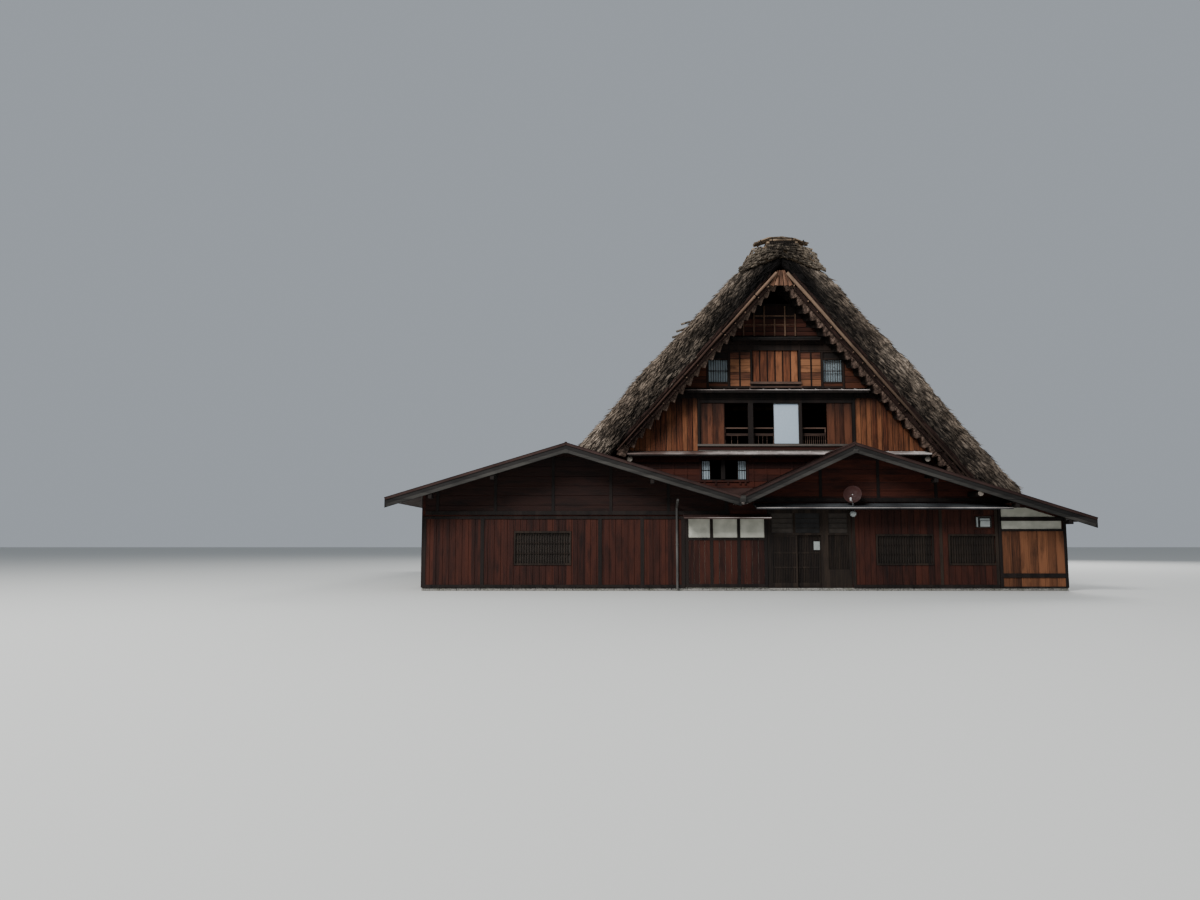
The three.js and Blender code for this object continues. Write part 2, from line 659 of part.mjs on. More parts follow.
function buildEntranceFront() {
  const back = FRONT + WALL;
  const holes = PURLINS.map(([x, surface]) => purlin(x, surface, -GAP, GAP));
  const wing = slabXZ([
    [WING_LEFT, BOARDS_FOOT + GAP], [ENTRANCE_LEFT, BOARDS_FOOT + GAP], [ENTRANCE_LEFT, PENT_LINE - GAP],
    [HALL_LEFT - 1, PENT_LINE - GAP], [HALL_LEFT - 1, NOTCH], [GUTTER[0] - 20, NOTCH],
    underRoof(wingRoof, GUTTER[0] - 20),
    underRoof(wingRoof, WING_RIDGE), underRoof(wingRoof, WING_LEFT),
  ], FRONT, back);
  place('left_gable_boards', cut(wing, holes.slice(0, 3)), redBoards);
  const hall = slabXZ([
    [HALL_LEFT, PENT_LINE], [7600, PENT_LINE], underRoof(frontRoof, 7600), underRoof(frontRoof, FRONT_RIDGE),
    underRoof(frontRoof, HALL_LEFT),
  ], FRONT, back);
  place('right_gable_boards', cut(hall, holes.slice(3)), redBoards);
  const leftWall = rect(WING_LEFT, PLASTER_LEFT, WALL_FOOT, BOARDS_FOOT);
  place('left_front_wall', slabXZ(leftWall, FRONT, back, [rect(...LEFT_FRONT_WINDOW)]), redBoards);
  const bay = rect(PLASTER_LEFT + GAP, ENTRANCE_LEFT, WALL_FOOT, BOARDS_FOOT);
  place('plaster_bay', slabXZ(bay, FRONT, back), plaster);
  const rightWall = rect(ENTRANCE_RIGHT + GAP, BAY_LEFT - GAP, WALL_FOOT, PENT_LINE - GAP);
  const windows = RIGHT_FRONT_WINDOWS.map((window) => rect(...window));
  place('front_right_wall', slabXZ(rightWall, FRONT, back, windows), redBoards);
}

// The entrance: a framed opening with a slatted light over it, and two sliding doors that pass each
// other on the rails of the sill
const DOOR_FOOT = 120;
const DOOR_TOP = 1825;
const LINTEL = [1830, 1900];
const LIGHT_TOP = 2550;
const DOORWAY = [-930, 730];
const SIDE_LIGHT = [970, 1650];
const SIDE_LIGHT_FOOT = 700;
const DOOR_CLEAR = 5;
const LEAF = 870;
const LEAF_THICK = 35;
const LEAF_SETBACKS = [12, 65];

function buildEntrance() {
  const wall = rect(ENTRANCE_LEFT + GAP, ENTRANCE_RIGHT, WALL_FOOT, PENT_LINE - GAP);
  place('entrance_frame', slabXZ(wall, FRONT, FRONT + WALL, [
    rect(...DOORWAY, DOOR_FOOT, LINTEL[0]), rect(...DOORWAY, LINTEL[1], LIGHT_TOP),
    rect(...SIDE_LIGHT, SIDE_LIGHT_FOOT, LINTEL[0]), rect(...SIDE_LIGHT, LINTEL[1], LIGHT_TOP),
  ]), darkTimber);
  const [leftEdge, rightEdge] = [DOORWAY[0] + DOOR_CLEAR, DOORWAY[1] - DOOR_CLEAR];
  const leaf = (left, setback) => block(
    left, left + LEAF, FRONT + setback, FRONT + setback + LEAF_THICK, DOOR_FOOT + GAP, DOOR_TOP);
  place('entrance_door_left', leaf(leftEdge, LEAF_SETBACKS[0]), darkTimber);
  place('entrance_door_right', leaf(rightEdge - LEAF, LEAF_SETBACKS[1]), darkTimber);
  place('entrance_pent', entrancePent(-1500, 6850, 700, 2880, 160), redMetal);
  place('plaster_pent', entrancePent(-3850, -1000, 550, 2520, 120), redMetal);
}

function buildRightEnd() {
  const back = FRONT + WALL;
  const front = slabXZ([
    [BAY_LEFT, WALL_FOOT], [BAY_RIGHT, WALL_FOOT], underRoof(frontRoof, BAY_RIGHT),
    [7603, PENT_LINE - GAP], [BAY_LEFT, PENT_LINE - GAP],
  ], FRONT, back);
  const side = slabXZ([
    [BAY_RIGHT - WALL, WALL_FOOT], [BAY_RIGHT, WALL_FOOT], underRoof(frontRoof, BAY_RIGHT),
    underRoof(frontRoof, BAY_RIGHT - WALL),
  ], FRONT + 1, -GAP);
  const behind = slabXZ([
    [HOUSE_RIGHT - WALL, WALL_FOOT], [BAY_RIGHT - 1, WALL_FOOT], underRoof(frontRoof, BAY_RIGHT - 1),
    underRoof(frontRoof, HOUSE_RIGHT - WALL),
  ], -WALL, -GAP);
  place('right_end_bay', join([front, side, behind]), redBoards);
}

function windowsAt(middles) {
  const { width, low, high } = SIDE_WINDOWS;
  return middles.map((middle) => rect(middle - width / 2, middle + width / 2, low, high));
}

function buildSideWalls() {
  const insideWing = WING_LEFT + WALL;
  const insideRight = HOUSE_RIGHT - WALL;
  const right = rect(0, LENGTH, WALL_FOOT, underside(HOUSE_RIGHT) - 2);
  place('right_side_wall', slabYZ(right, insideRight, HOUSE_RIGHT, windowsAt(RIGHT_SIDE_PLACES)), redBoards);
  const left = rect(FRONT + WALL + GAP, LENGTH, WALL_FOOT, underRoof(wingRoof, WING_LEFT)[1]);
  place('left_side_wall', slabYZ(left, WING_LEFT, insideWing, windowsAt(LEFT_SIDE_PLACES)), redBoards);
  const [from, to, edge] = [insideWing + GAP, insideRight - GAP, LOFT_LEFT - 0.5];
  const behind = slabXZ([
    [from, WALL_FOOT], [to, WALL_FOOT], [to, underside(insideRight) - 1],
    [halfWidth(FIRST) - 1, FIRST - GAP], [edge, FIRST - GAP], underRoof(wingRoof, edge),
    underRoof(wingRoof, WING_RIDGE), underRoof(wingRoof, from),
  ], LENGTH - WALL, LENGTH, windowsAt(BACK_PLACES));
  const holes = PURLINS.slice(0, 2).map(([x, surface, end]) => purlin(x, surface, end, GAP));
  place('back_ground_wall', cut(behind, holes), redBoards);
}

// Sill stones under the outer walls
function buildPlinth() {
  const width = SILL_STONE;
  const outer = [
    [WING_LEFT, FRONT], [BAY_RIGHT, FRONT], [BAY_RIGHT, 0], [HOUSE_RIGHT, 0], [HOUSE_RIGHT, LENGTH],
    [WING_LEFT, LENGTH],
  ];
  const inner = [
    [WING_LEFT + width, FRONT + width], [BAY_RIGHT - width, FRONT + width], [BAY_RIGHT - width, -width],
    [HOUSE_RIGHT - width, -width], [HOUSE_RIGHT - width, LENGTH - width],
    [WING_LEFT + width, LENGTH - width],
  ];
  place('plinth', slabXY(outer, 0, PLINTH, [inner]), stone);
}

// A satellite dish on a short mast stands on the pent over the entrance
function buildDish() {
  const radius = 295;
  const depth = 55;
  const sheet = 12;
  const profile = [];
  const curve = (r) => (depth * r * r) / (radius * radius);
  for (const r of [0, 100, 200, radius]) {
    profile.push(new THREE.Vector2(r, curve(r)));
  }
  for (const r of [radius, 200, 100, 0]) {
    profile.push(new THREE.Vector2(r, curve(r) + sheet));
  }
  const bowl = new THREE.LatheGeometry(profile, 20);
  bowl.rotateX(THREE.MathUtils.degToRad(75)).translate(1720, -3780, 3150);
  const [low, high] = [2803, 3200];
  const mast = new THREE.CylinderGeometry(22, 22, high - low, 8).rotateX(Math.PI / 2)
    .translate(1720, -3760, (low + high) / 2);
  place('satellite_dish', join([bowl, mast]), finish(0x7a4437, 0.6));
}

buildThatch();
buildRidge();
buildVerges();
buildRafters('right_rafters', 1, 7400);
buildRafters('left_rafters', -1, 6300);
buildPostRows();
buildFloors();
buildFrontGable();
buildGableFittings();
buildPents();
buildBackGable();
buildLowRoofs();
buildValleyPent();
buildWingFrame();
buildEntranceFront();
buildEntrance();
buildRightEnd();
buildSideWalls();
buildPlinth();
buildDish();

// Centred over its own box, standing on the ground
const box = new THREE.Box3().setFromObject(house);
const middle = box.getCenter(new THREE.Vector3());
house.position.set(-middle.x, -middle.y, -box.min.z);

export default house;
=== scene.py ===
"""A gassho farmhouse, dressed from its thatch down to its sill stones."""
import random
from math import atan, atan2, cos, radians, sin

import bpy
from mathutils import Matrix, Vector


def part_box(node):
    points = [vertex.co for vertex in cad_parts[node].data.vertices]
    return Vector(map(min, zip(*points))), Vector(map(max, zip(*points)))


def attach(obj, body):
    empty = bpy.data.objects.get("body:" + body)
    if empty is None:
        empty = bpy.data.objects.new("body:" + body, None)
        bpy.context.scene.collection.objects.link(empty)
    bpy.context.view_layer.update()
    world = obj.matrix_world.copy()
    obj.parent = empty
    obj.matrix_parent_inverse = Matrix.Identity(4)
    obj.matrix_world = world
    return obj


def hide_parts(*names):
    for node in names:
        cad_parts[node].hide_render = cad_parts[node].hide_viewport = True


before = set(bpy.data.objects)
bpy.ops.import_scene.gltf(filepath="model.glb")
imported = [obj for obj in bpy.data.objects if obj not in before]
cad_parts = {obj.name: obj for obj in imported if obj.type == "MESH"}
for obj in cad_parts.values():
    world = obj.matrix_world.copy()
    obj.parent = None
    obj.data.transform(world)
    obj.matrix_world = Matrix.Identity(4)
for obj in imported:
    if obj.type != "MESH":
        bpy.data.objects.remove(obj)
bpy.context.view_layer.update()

# Where the house stands. Its own axes are used throughout: X runs along the gable from its centre
# line, Y runs back from the face of the front gable wall, and Z is height, all in metres.
gable_low, gable_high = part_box("front_wall_second")
ORIGIN = Vector(((gable_low.x + gable_high.x) / 2, gable_low.y, 0))
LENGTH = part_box("back_wall_lower")[1].y - ORIGIN.y


def at(x, y, z):
    """A point of the house's own axes, as the frame has it."""
    return ORIGIN + Vector((x, y, z))


# The camera: a standing eye on the path in front of the house and to the left of it, looking
# square at the gable and a little upwards through a phone's wide lens.
bpy.ops.object.select_all(action="DESELECT")
bpy.ops.object.camera_add(location=at(-6.6, -33.6, 1.57), rotation=(radians(95.86), 0, 0))
camera = bpy.context.object
camera.data.lens = 27.18
camera.data.clip_end = 400
bpy.context.scene.camera = camera


# The studio: a pale floor, a pale even surround, and two very large lamps, the stronger one high
# in front on the left, the weaker one behind on the right.
def paint(colour):
    """An sRGB hex colour as the linear values that the shaders mix."""
    values = [int(colour[i:i + 2], 16) / 255 for i in (1, 3, 5)]
    return (*[v / 12.92 if v <= 0.04045 else ((v + 0.055) / 1.055) ** 2.4 for v in values], 1)


def node(tree, kind, inputs, **settings):
    """Adds a node, with its settings, and with its inputs given values or joined to sockets."""
    made = tree.nodes.new(kind)
    for name, value in settings.items():
        setattr(made, name, value)
    for name, value in inputs.items():
        if isinstance(value, bpy.types.NodeSocket):
            tree.links.new(value, made.inputs[name])
        else:
            made.inputs[name].default_value = value
    return made


def surface(name, roughness, ior=1.5, metallic=0.0, specular=0.5):
    """A new material of one shader, its tree, and the shader."""
    material = bpy.data.materials.new(name)
    material.use_nodes = True
    shader = material.node_tree.nodes["Principled BSDF"]
    for socket, value in (("Roughness", roughness), ("IOR", ior), ("Metallic", metallic),
                          ("Specular IOR Level", specular)):
        shader.inputs[socket].default_value = value
    return material, material.node_tree, shader


def layered(tree, colour, *coats):
    """A colour with others laid over it. Each coat is an amount and a colour, and an amount is a socket, or
    a value with the range that it is stretched from and, if that isn't 0 to 1, the one it goes to."""
    for amount, over in coats:
        if isinstance(amount, tuple):
            amount = node(tree, "ShaderNodeMapRange", dict(enumerate(amount))).outputs[0]
        mix = node(tree, "ShaderNodeMix", {0: amount, 6: colour, 7: over}, data_type="RGBA")
        colour = mix.outputs[2]
    return colour


# Matt floor paint, an even pale grey to the eye: IOR 1.5, roughness 0.9, its clouds wider than the view
floor_material, floor_tree, floor_shader = surface("pale_floor", 0.9)
cloudy = node(floor_tree, "ShaderNodeTexNoise", {"Scale": 0.3, "Detail": 2.0}).outputs[0]
floor_tree.links.new(layered(floor_tree, paint("#c4c4c0"), (cloudy, paint("#cbcbc7"))),
                     floor_shader.inputs["Base Color"])
bpy.ops.mesh.primitive_plane_add(size=600, location=(0, 0, -0.001))
floor_plane = bpy.context.object
floor_plane.data.materials.append(floor_material)

world = bpy.data.worlds.new("surround")
world.use_nodes = True
bpy.context.scene.world = world
world.node_tree.nodes["Background"].inputs["Color"].default_value = paint("#dfe8f2")
world.node_tree.nodes["Background"].inputs["Strength"].default_value = 0.46
for name, place, size, power in (("front_lamp", (-24, -40, 34), 18, 29000),
                                 ("back_lamp", (26, 34, 30), 20, 22000)):
    bpy.ops.object.light_add(type="AREA", location=place)
    lamp = bpy.context.object
    lamp.name = name
    lamp.data.size = size
    lamp.data.energy = power
    lamp.rotation_euler = (Vector((0, 0, 4)) - Vector(place)).to_track_quat("-Z", "Y").to_euler()


# The two slopes of thatch: a metre of miscanthus reed laid in courses and tied to the poles below,
# weathered grey outside, with its cut butts showing along the verges and eaves.
APEX = 11.68
PITCH = atan(1.106)
THATCH_OUTSIDE = APEX * cos(PITCH) + 1.05    # the outside of the thatch, square to the slope
RAKE = 0.13    # how much further a verge hangs out for each metre of height


def verge_reach(z):
    """How far a verge hangs out over its gable at a height."""
    return 0.6 + RAKE * (z - 4)


def on_slope(along, below):
    """X and Z of a point so far down the right slope from the apex, and so far under it."""
    return along * cos(PITCH) - below * sin(PITCH), APEX - along * sin(PITCH) - below * cos(PITCH)


def alone(piece):
    """Makes a piece the only one that is selected, and the active one."""
    bpy.ops.object.select_all(action="DESELECT")
    piece.select_set(True)
    bpy.context.view_layer.objects.active = piece


def apply_all(piece):
    """Applies the modifiers of a piece, which ends alone and active."""
    alone(piece)
    for modifier in list(piece.modifiers):
        bpy.ops.object.modifier_apply(modifier=modifier.name)


def even(piece, voxel):
    """Makes a piece again of small even faces, once its modifiers are applied."""
    remesh = piece.modifiers.new("even", "REMESH")
    remesh.mode = "VOXEL"
    remesh.voxel_size = voxel


def even_copy(name, source, voxel):
    """A copy of a CAD node with its corners merged, made again of small even faces."""
    piece = bpy.data.objects.new(name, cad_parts[source].data.copy())
    piece.data.materials.clear()
    bpy.context.scene.collection.objects.link(piece)
    alone(piece)
    bpy.ops.object.mode_set(mode="EDIT")
    bpy.ops.mesh.select_all(action="SELECT")
    bpy.ops.mesh.remove_doubles(threshold=0.0001)
    bpy.ops.object.mode_set(mode="OBJECT")
    even(piece, voxel)
    piece.modifiers.new("soften", "SMOOTH").iterations = 4
    apply_all(piece)
    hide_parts(source)
    return piece


def roughen(piece, *layers):
    """Moves the surface in and out by clouds of a size and a strength for each layer."""
    for size, strength in layers:
        clouds = bpy.data.textures.new(f"{piece.name}_{size}", "CLOUDS")
        clouds.noise_scale = size
        clouds.noise_depth = 2
        clouds.noise_basis = "ORIGINAL_PERLIN"
        displace = piece.modifiers.new("clouds", "DISPLACE")
        displace.texture = clouds
        displace.texture_coords = "LOCAL"
        displace.strength = strength
        displace.mid_level = 0.5
    apply_all(piece)


def ride(piece, material, body="house"):
    """Gives a finished piece its material and the body that it moves with."""
    piece.data.materials.clear()
    piece.data.materials.append(material)
    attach(piece, body)


def placed(tree):
    """Where a point lies in the house's own axes, whole and as X, Y and Z."""
    spot = node(tree, "ShaderNodeTexCoord", {}).outputs["Object"]
    moved = node(tree, "ShaderNodeVectorMath", {0: spot, 1: ORIGIN}, operation="SUBTRACT").outputs[0]
    return moved, node(tree, "ShaderNodeSeparateXYZ", {0: moved}).outputs


def fold(tree, x, y, z):
    """A place with the left half of the house laid over the right half."""
    out = node(tree, "ShaderNodeMath", {0: x}, operation="ABSOLUTE").outputs[0]
    return node(tree, "ShaderNodeCombineXYZ", {0: out, 1: y, 2: z}).outputs[0]


def reed(name, hexes, streak, lump, inner_shade=0.85, gap=1.0, lie=PITCH, recess_shade=0.0):
    """Weathered reed, dull and rough all over (IOR 1.5, roughness 0.95), its hollow stems giving back
    little shine. Stems of 6 mm are drawn as streaks of 3 to 4 cm that run down the slopes, over locks of
    7 by 40 cm with painted shade in the gaps between them. It is bleached outside, where painted light
    also falls on its outer edge, and painted light makes it lighter towards the eaves. Painted shade
    darkens its inner edge, the more the higher it lies. lie is the slope that the stems follow, gap how
    dark the painted shade in the gaps is, the argument before gap how dark the painted shade on the inner
    edge is, and the last argument how dark the painted shade is on what lies tucked behind the verge."""
    material, tree, shader = surface(name, 0.95, specular=0.2)
    dark, middle, light, pale = map(paint, hexes)
    moved, (x, y, z) = placed(tree)
    folded = fold(tree, x, y, z)
    sloped = node(tree, "ShaderNodeMapping", {"Vector": folded, "Rotation": (0, -PITCH, 0)}).outputs[0]
    depth = node(tree, "ShaderNodeSeparateXYZ", {0: sloped}).outputs[2]
    turned = node(tree, "ShaderNodeMapping", {"Vector": folded, "Rotation": (0, -lie, 0)}).outputs[0]
    bent = node(tree, "ShaderNodeTexNoise", {"Vector": turned, "Scale": 2.2, "Detail": 2.0}).outputs[1]
    wavy = node(tree, "ShaderNodeVectorMath", {0: bent, 1: (0.22, 0.1, 0.16), 2: turned},
                operation="MULTIPLY_ADD").outputs[0]
    stems = node(tree, "ShaderNodeMapping", {"Vector": wavy, "Scale": streak}).outputs[0]
    fine = node(tree, "ShaderNodeTexNoise",
                {"Vector": stems, "Scale": 1.0, "Detail": 3.0, "Roughness": 0.7}).outputs[0]
    lumps = node(tree, "ShaderNodeMapping", {"Vector": wavy, "Scale": lump}).outputs[0]
    cell = node(tree, "ShaderNodeTexVoronoi", {"Vector": lumps, "Scale": 1.0})
    gaps = node(tree, "ShaderNodeMapRange", {0: cell.outputs["Distance"], 1: 0.30, 2: 0.75}).outputs[0]
    tint = node(tree, "ShaderNodeSeparateXYZ", {0: cell.outputs["Color"]}).outputs[0]
    # Painted shade along the thatch's inner edge, the deeper the higher it lies, most under the ridge.
    deep = node(tree, "ShaderNodeMapRange",
                {0: depth, 1: THATCH_OUTSIDE - 0.85, 2: THATCH_OUTSIDE - 0.1, 3: inner_shade, 4: 0}).outputs[0]
    high = node(tree, "ShaderNodeMapRange", {0: z, 1: 8.4, 2: 11.3, 3: 0.6, 4: 1.4}).outputs[0]
    inner = node(tree, "ShaderNodeMath", {0: deep, 1: high}, operation="MULTIPLY").outputs[0]
    # Painted shade in the gaps between the locks, a little less of it towards the outside.
    shown = node(tree, "ShaderNodeMapRange", {0: depth, 1: THATCH_OUTSIDE - 0.9, 2: THATCH_OUTSIDE - 0.2,
                                              3: 0.95 * gap, 4: 0.75 * gap}).outputs[0]
    shade = node(tree, "ShaderNodeMath", {0: gaps, 1: shown}, operation="MULTIPLY").outputs[0]
    broad = node(tree, "ShaderNodeTexNoise", {"Vector": moved, "Scale": 0.5, "Detail": 3.0}).outputs[0]
    patches = node(tree, "ShaderNodeTexNoise", {"Vector": moved, "Scale": 2.1, "Detail": 3.0}).outputs[0]
    # Over the stems: random lighter locks; a lighter outer edge, weathering with painted light on it; painted
    # light towards the eaves; pale stains; the painted shade of the inner edge; dark patches; and the painted
    # shade of the gaps.
    colour = layered(tree, dark, ((fine, 0.41, 0.59), middle), ((tint, 0.25, 1.0, 0, 0.75), light),
                     ((depth, THATCH_OUTSIDE - 0.65, THATCH_OUTSIDE - 0.05, 0, 0.75), light),
                     ((z, 10.6, 6.2, 0, 0.25), light), ((broad, 0.50, 0.72, 0, 0.6), pale), (inner, dark),
                     ((patches, 0.36, 0.6, 0.5 * gap, 0), dark), (shade, dark))
    # Painted shade, near black, on what lies tucked behind the verge's face.
    if recess_shade:
        halfway = node(tree, "ShaderNodeMath", {0: y, 1: LENGTH / 2}, operation="SUBTRACT").outputs[0]
        endways = node(tree, "ShaderNodeMath", {0: halfway}, operation="ABSOLUTE").outputs[0]
        reach = node(tree, "ShaderNodeMath", {0: z, 1: -RAKE, 2: endways},
                     operation="MULTIPLY_ADD").outputs[0]
        brink = LENGTH / 2 + verge_reach(0)
        colour = layered(tree, colour, ((reach, brink - 0.55, brink - 0.3, recess_shade, 0), paint("#060404")))
    tree.links.new(colour, shader.inputs["Base Color"])
    relief = node(tree, "ShaderNodeMath", {0: fine, 1: gaps}, operation="SUBTRACT").outputs[0]
    bump = node(tree, "ShaderNodeBump", {"Strength": 1.0, "Distance": 0.04, "Height": relief})
    tree.links.new(bump.outputs[0], shader.inputs["Normal"])
    return material


def bristle(name, source, tuft, density, lay, lean, seed, scale=(0.6, 1.3), ends=2.0):
    """Tufts all over a piece but its underside, each lying along lay, leaning out and astray. Faces that
    turn further towards the gables than ends are left bare."""
    tree = bpy.data.node_groups.new(name, "GeometryNodeTree")
    tree.interface.new_socket("Geometry", in_out="INPUT", socket_type="NodeSocketGeometry")
    tree.interface.new_socket("Geometry", in_out="OUTPUT", socket_type="NodeSocketGeometry")
    given = node(tree, "NodeGroupInput", {})
    normal = node(tree, "GeometryNodeInputNormal", {}).outputs[0]
    facing = node(tree, "ShaderNodeSeparateXYZ", {0: normal}).outputs
    level = node(tree, "FunctionNodeCompare", {0: facing[2], 1: -0.25}, operation="GREATER_THAN").outputs[0]
    endways = node(tree, "ShaderNodeMath", {0: facing[1]}, operation="ABSOLUTE").outputs[0]
    sideways = node(tree, "FunctionNodeCompare", {0: endways, 1: ends}, operation="LESS_THAN").outputs[0]
    shown = node(tree, "FunctionNodeBooleanMath", {0: level, 1: sideways}, operation="AND").outputs[0]
    points = node(tree, "GeometryNodeDistributePointsOnFaces",
                  {"Mesh": given.outputs[0], "Selection": shown, "Density": density, "Seed": seed})
    astray = node(tree, "FunctionNodeRandomValue", {0: (-0.28, -0.28, -0.28), 1: (0.28, 0.28, 0.28),
                                                    "Seed": seed}, data_type="FLOAT_VECTOR").outputs[0]
    outward = node(tree, "ShaderNodeVectorMath", {0: points.outputs["Normal"], "Scale": lean},
                   operation="SCALE").outputs[0]
    laid = node(tree, "ShaderNodeVectorMath", {0: outward, 1: lay}, operation="ADD").outputs[0]
    aimed = node(tree, "ShaderNodeVectorMath", {0: laid, 1: astray}, operation="ADD").outputs[0]
    turn = node(tree, "FunctionNodeAlignRotationToVector", {"Vector": aimed}, axis="Z").outputs[0]
    size = node(tree, "FunctionNodeRandomValue", {2: scale[0], 3: scale[1], "Seed": seed + 1},
                data_type="FLOAT").outputs[1]
    stalk = node(tree, "GeometryNodeObjectInfo", {"Object": tuft}).outputs["Geometry"]
    planted = node(tree, "GeometryNodeInstanceOnPoints",
                   {"Points": points.outputs["Points"], "Instance": stalk, "Rotation": turn, "Scale": size})
    real = node(tree, "GeometryNodeRealizeInstances", {0: planted.outputs[0]})
    node(tree, "NodeGroupOutput", {0: real.outputs[0]})
    piece = bpy.data.objects.new(name, source.data.copy())
    piece.data.materials.clear()
    bpy.context.scene.collection.objects.link(piece)
    piece.modifiers.new("tufts", "NODES").node_group = tree
    apply_all(piece)
    return piece


thatch = reed("weathered_reed_thatch", ("#0c0908", "#4f463e", "#a79583", "#dac7b3"), (5, 36, 36),
              (2.6, 15, 15))


def reed_tuft(sides, radius, length):
    """One pointed tuft that stands on the origin, its foot a little below it."""
    bpy.ops.object.select_all(action="DESELECT")
    bpy.ops.mesh.primitive_cone_add(vertices=sides, radius1=radius, radius2=0, depth=length,
                                    location=(0, 0, length / 3))
    bpy.ops.object.transform_apply(location=True, rotation=True, scale=True)
    return bpy.context.object


tuft = reed_tuft(3, 0.02, 0.28)
lock = reed_tuft(4, 0.034, 0.36)
for side, name in ((-1, "thatch_left"), (1, "thatch_right")):
    slope = even_copy(f"{name}_coat", name, 0.095)
    roughen(slope, (0.42, 0.15), (0.15, 0.07))
    fall = (side * cos(PITCH), 0, -sin(PITCH))
    stubble = bristle(f"{name}_stubble", slope, tuft, density=96, lay=fall, lean=0.32, seed=11 + side)
    locks = bristle(f"{name}_locks", slope, lock, density=38, lay=fall, lean=0.16, seed=21 + side,
                    scale=(0.6, 1.35))
    for piece in (slope, stubble, locks):
        ride(piece, thatch)


# The ridge: more reed folded over the top and pressed down by thick bundles that lie across it,
# each tied round with straw rope, with poles run along the ridge under the bundle ends.
def begin(name):
    """An empty piece, in edit mode, for primitives that are added at their own place."""
    bpy.ops.object.select_all(action="DESELECT")
    bpy.ops.object.add(type="MESH")
    piece = bpy.context.object
    piece.name = piece.data.name = name
    bpy.ops.object.mode_set(mode="EDIT")
    return piece


def rods(lines, sides=6):
    """Adds a round stick for each pair of end points and radius."""
    for start, end, radius in lines:
        start, end = Vector(start), Vector(end)
        bpy.ops.mesh.primitive_cylinder_add(
            vertices=sides, radius=radius, depth=(end - start).length, location=at(*(start + end) / 2),
            rotation=(end - start).to_track_quat("Z", "Y").to_euler())


def close(piece, material, edge=0.0, body="house"):
    """Leaves edit mode and finishes a piece, its edges softened by a narrow bevel."""
    bpy.ops.object.mode_set(mode="OBJECT")
    if edge:
        bevel = piece.modifiers.new("edge", "BEVEL")
        bevel.width = edge
        bevel.segments = 1
        bevel.limit_method = "ANGLE"
        apply_all(piece)
    ride(piece, material, body)


def rodded(name, lines, sides, material, edge=0.0):
    """A piece of round sticks only."""
    piece = begin(name)
    rods(lines, sides)
    close(piece, material, edge)


chance = random.Random(4)
fresh_reed = reed("ridge_reed_bundles", ("#130f0c", "#5b4937", "#a58d73", "#c6b097"), (3, 24, 44),
                  (1.6, 12, 10), 0.25, 0.85, radians(20))
straw_rope = reed("straw_rope", ("#15110e", "#2c241d", "#453b30", "#51463a"), (60, 60, 60),
                  (20, 20, 20))


def trim(point, normal):
    """Cuts off what stands beyond a plane, and closes the cut."""
    bpy.ops.mesh.select_all(action="SELECT")
    bpy.ops.mesh.bisect(plane_co=point, plane_no=normal, use_fill=True, clear_outer=True)


FOOT_HALF, FOOT_TOP, FOOT_FALL = 1.56, 11.93, 0.33    # the line that the ridge's layers spring from
ARCH = [(0, 12.33), (0.56, 12.30), (1.03, 12.14), (1.24, 11.88), (1.38, 11.58), (1.52, 11.43)]
TUCK = 0.31    # how steeply the saddle's underside falls from the middle
halves = []
for side in (-1, 1):
    half = begin(f"ridge_half_{side}")
    bpy.ops.mesh.primitive_cube_add(size=1, location=at(side * 0.74, LENGTH / 2, 11.75),
                                    scale=(1.56, LENGTH + 6, 1.2))
    for (x0, z0), (x1, z1) in zip(ARCH, ARCH[1:]):
        trim(at(side * x0, 0, z0), (side * (z0 - z1), 0, x1 - x0))
    trim(at(0, 0, 11.88), (side * -TUCK, 0, -1))
    for end, way in ((0, -1), (LENGTH, 1)):
        trim(at(0, end + way * verge_reach(12), 12), (0, way, -RAKE))
    bpy.ops.object.mode_set(mode="OBJECT")
    halves.append(half)
saddle = halves[1]
halves[0].select_set(True)
bpy.ops.object.join()
saddle.name = saddle.data.name = "ridge_saddle"
even(saddle, 0.06)
apply_all(saddle)
roughen(saddle, (0.5, 0.07), (0.14, 0.05))
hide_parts("ridge_thatch")
ride(saddle, fresh_reed)
ragged = bristle("ridge_stubble", saddle, tuft, density=90, lay=(0, 0, -1), lean=0.25, seed=31,
                 scale=(0.4, 0.8), ends=0.5)
ride(ragged, fresh_reed)

# The ends of the ridge's layers: straw that arches over itself in each gable's face, every layer
# pressed down on the one below it, broken and uneven, greyed by weather.
layers = begin("ridge_layer_ends")
for share in (0.03, 0.17, 0.30, 0.44, 0.58, 0.72, 0.85, 0.97):
    line = []
    for k in range(2 * len(ARCH) - 1):
        x, z = ARCH[k // 2]
        if k % 2:
            x, z = (x + ARCH[k // 2 + 1][0]) / 2, (z + ARCH[k // 2 + 1][1]) / 2
        foot_x = FOOT_HALF * k / (2 * len(ARCH) - 2)
        foot_z = FOOT_TOP - FOOT_FALL * foot_x
        line.append((foot_x + (x - foot_x) * share, foot_z + (z - foot_z) * share))
    for side in (-1, 1):
        for (x0, z0), (x1, z1) in zip(line, line[1:]):
            for far in (False, True):
                if chance.random() < 0.2:
                    continue
                reach = verge_reach(z0) + chance.uniform(0.03, 0.09)
                y = LENGTH + reach if far else -reach
                for _ in range(2):
                    slip, turn = chance.uniform(-0.05, 0.05), chance.uniform(-0.035, 0.035)
                    rods([((side * (x0 - 0.03), y, z0 + slip), (side * (x1 + 0.03), y, z1 + slip + turn),
                           chance.uniform(0.018, 0.034))])
grey_straw = reed("greyed_layer_ends", ("#120e0b", "#483f35", "#8a7d6d", "#ab9d8c"), (24, 24, 24),
                  (5, 5, 14), 0.25, 0.85)
close(layers, grey_straw)

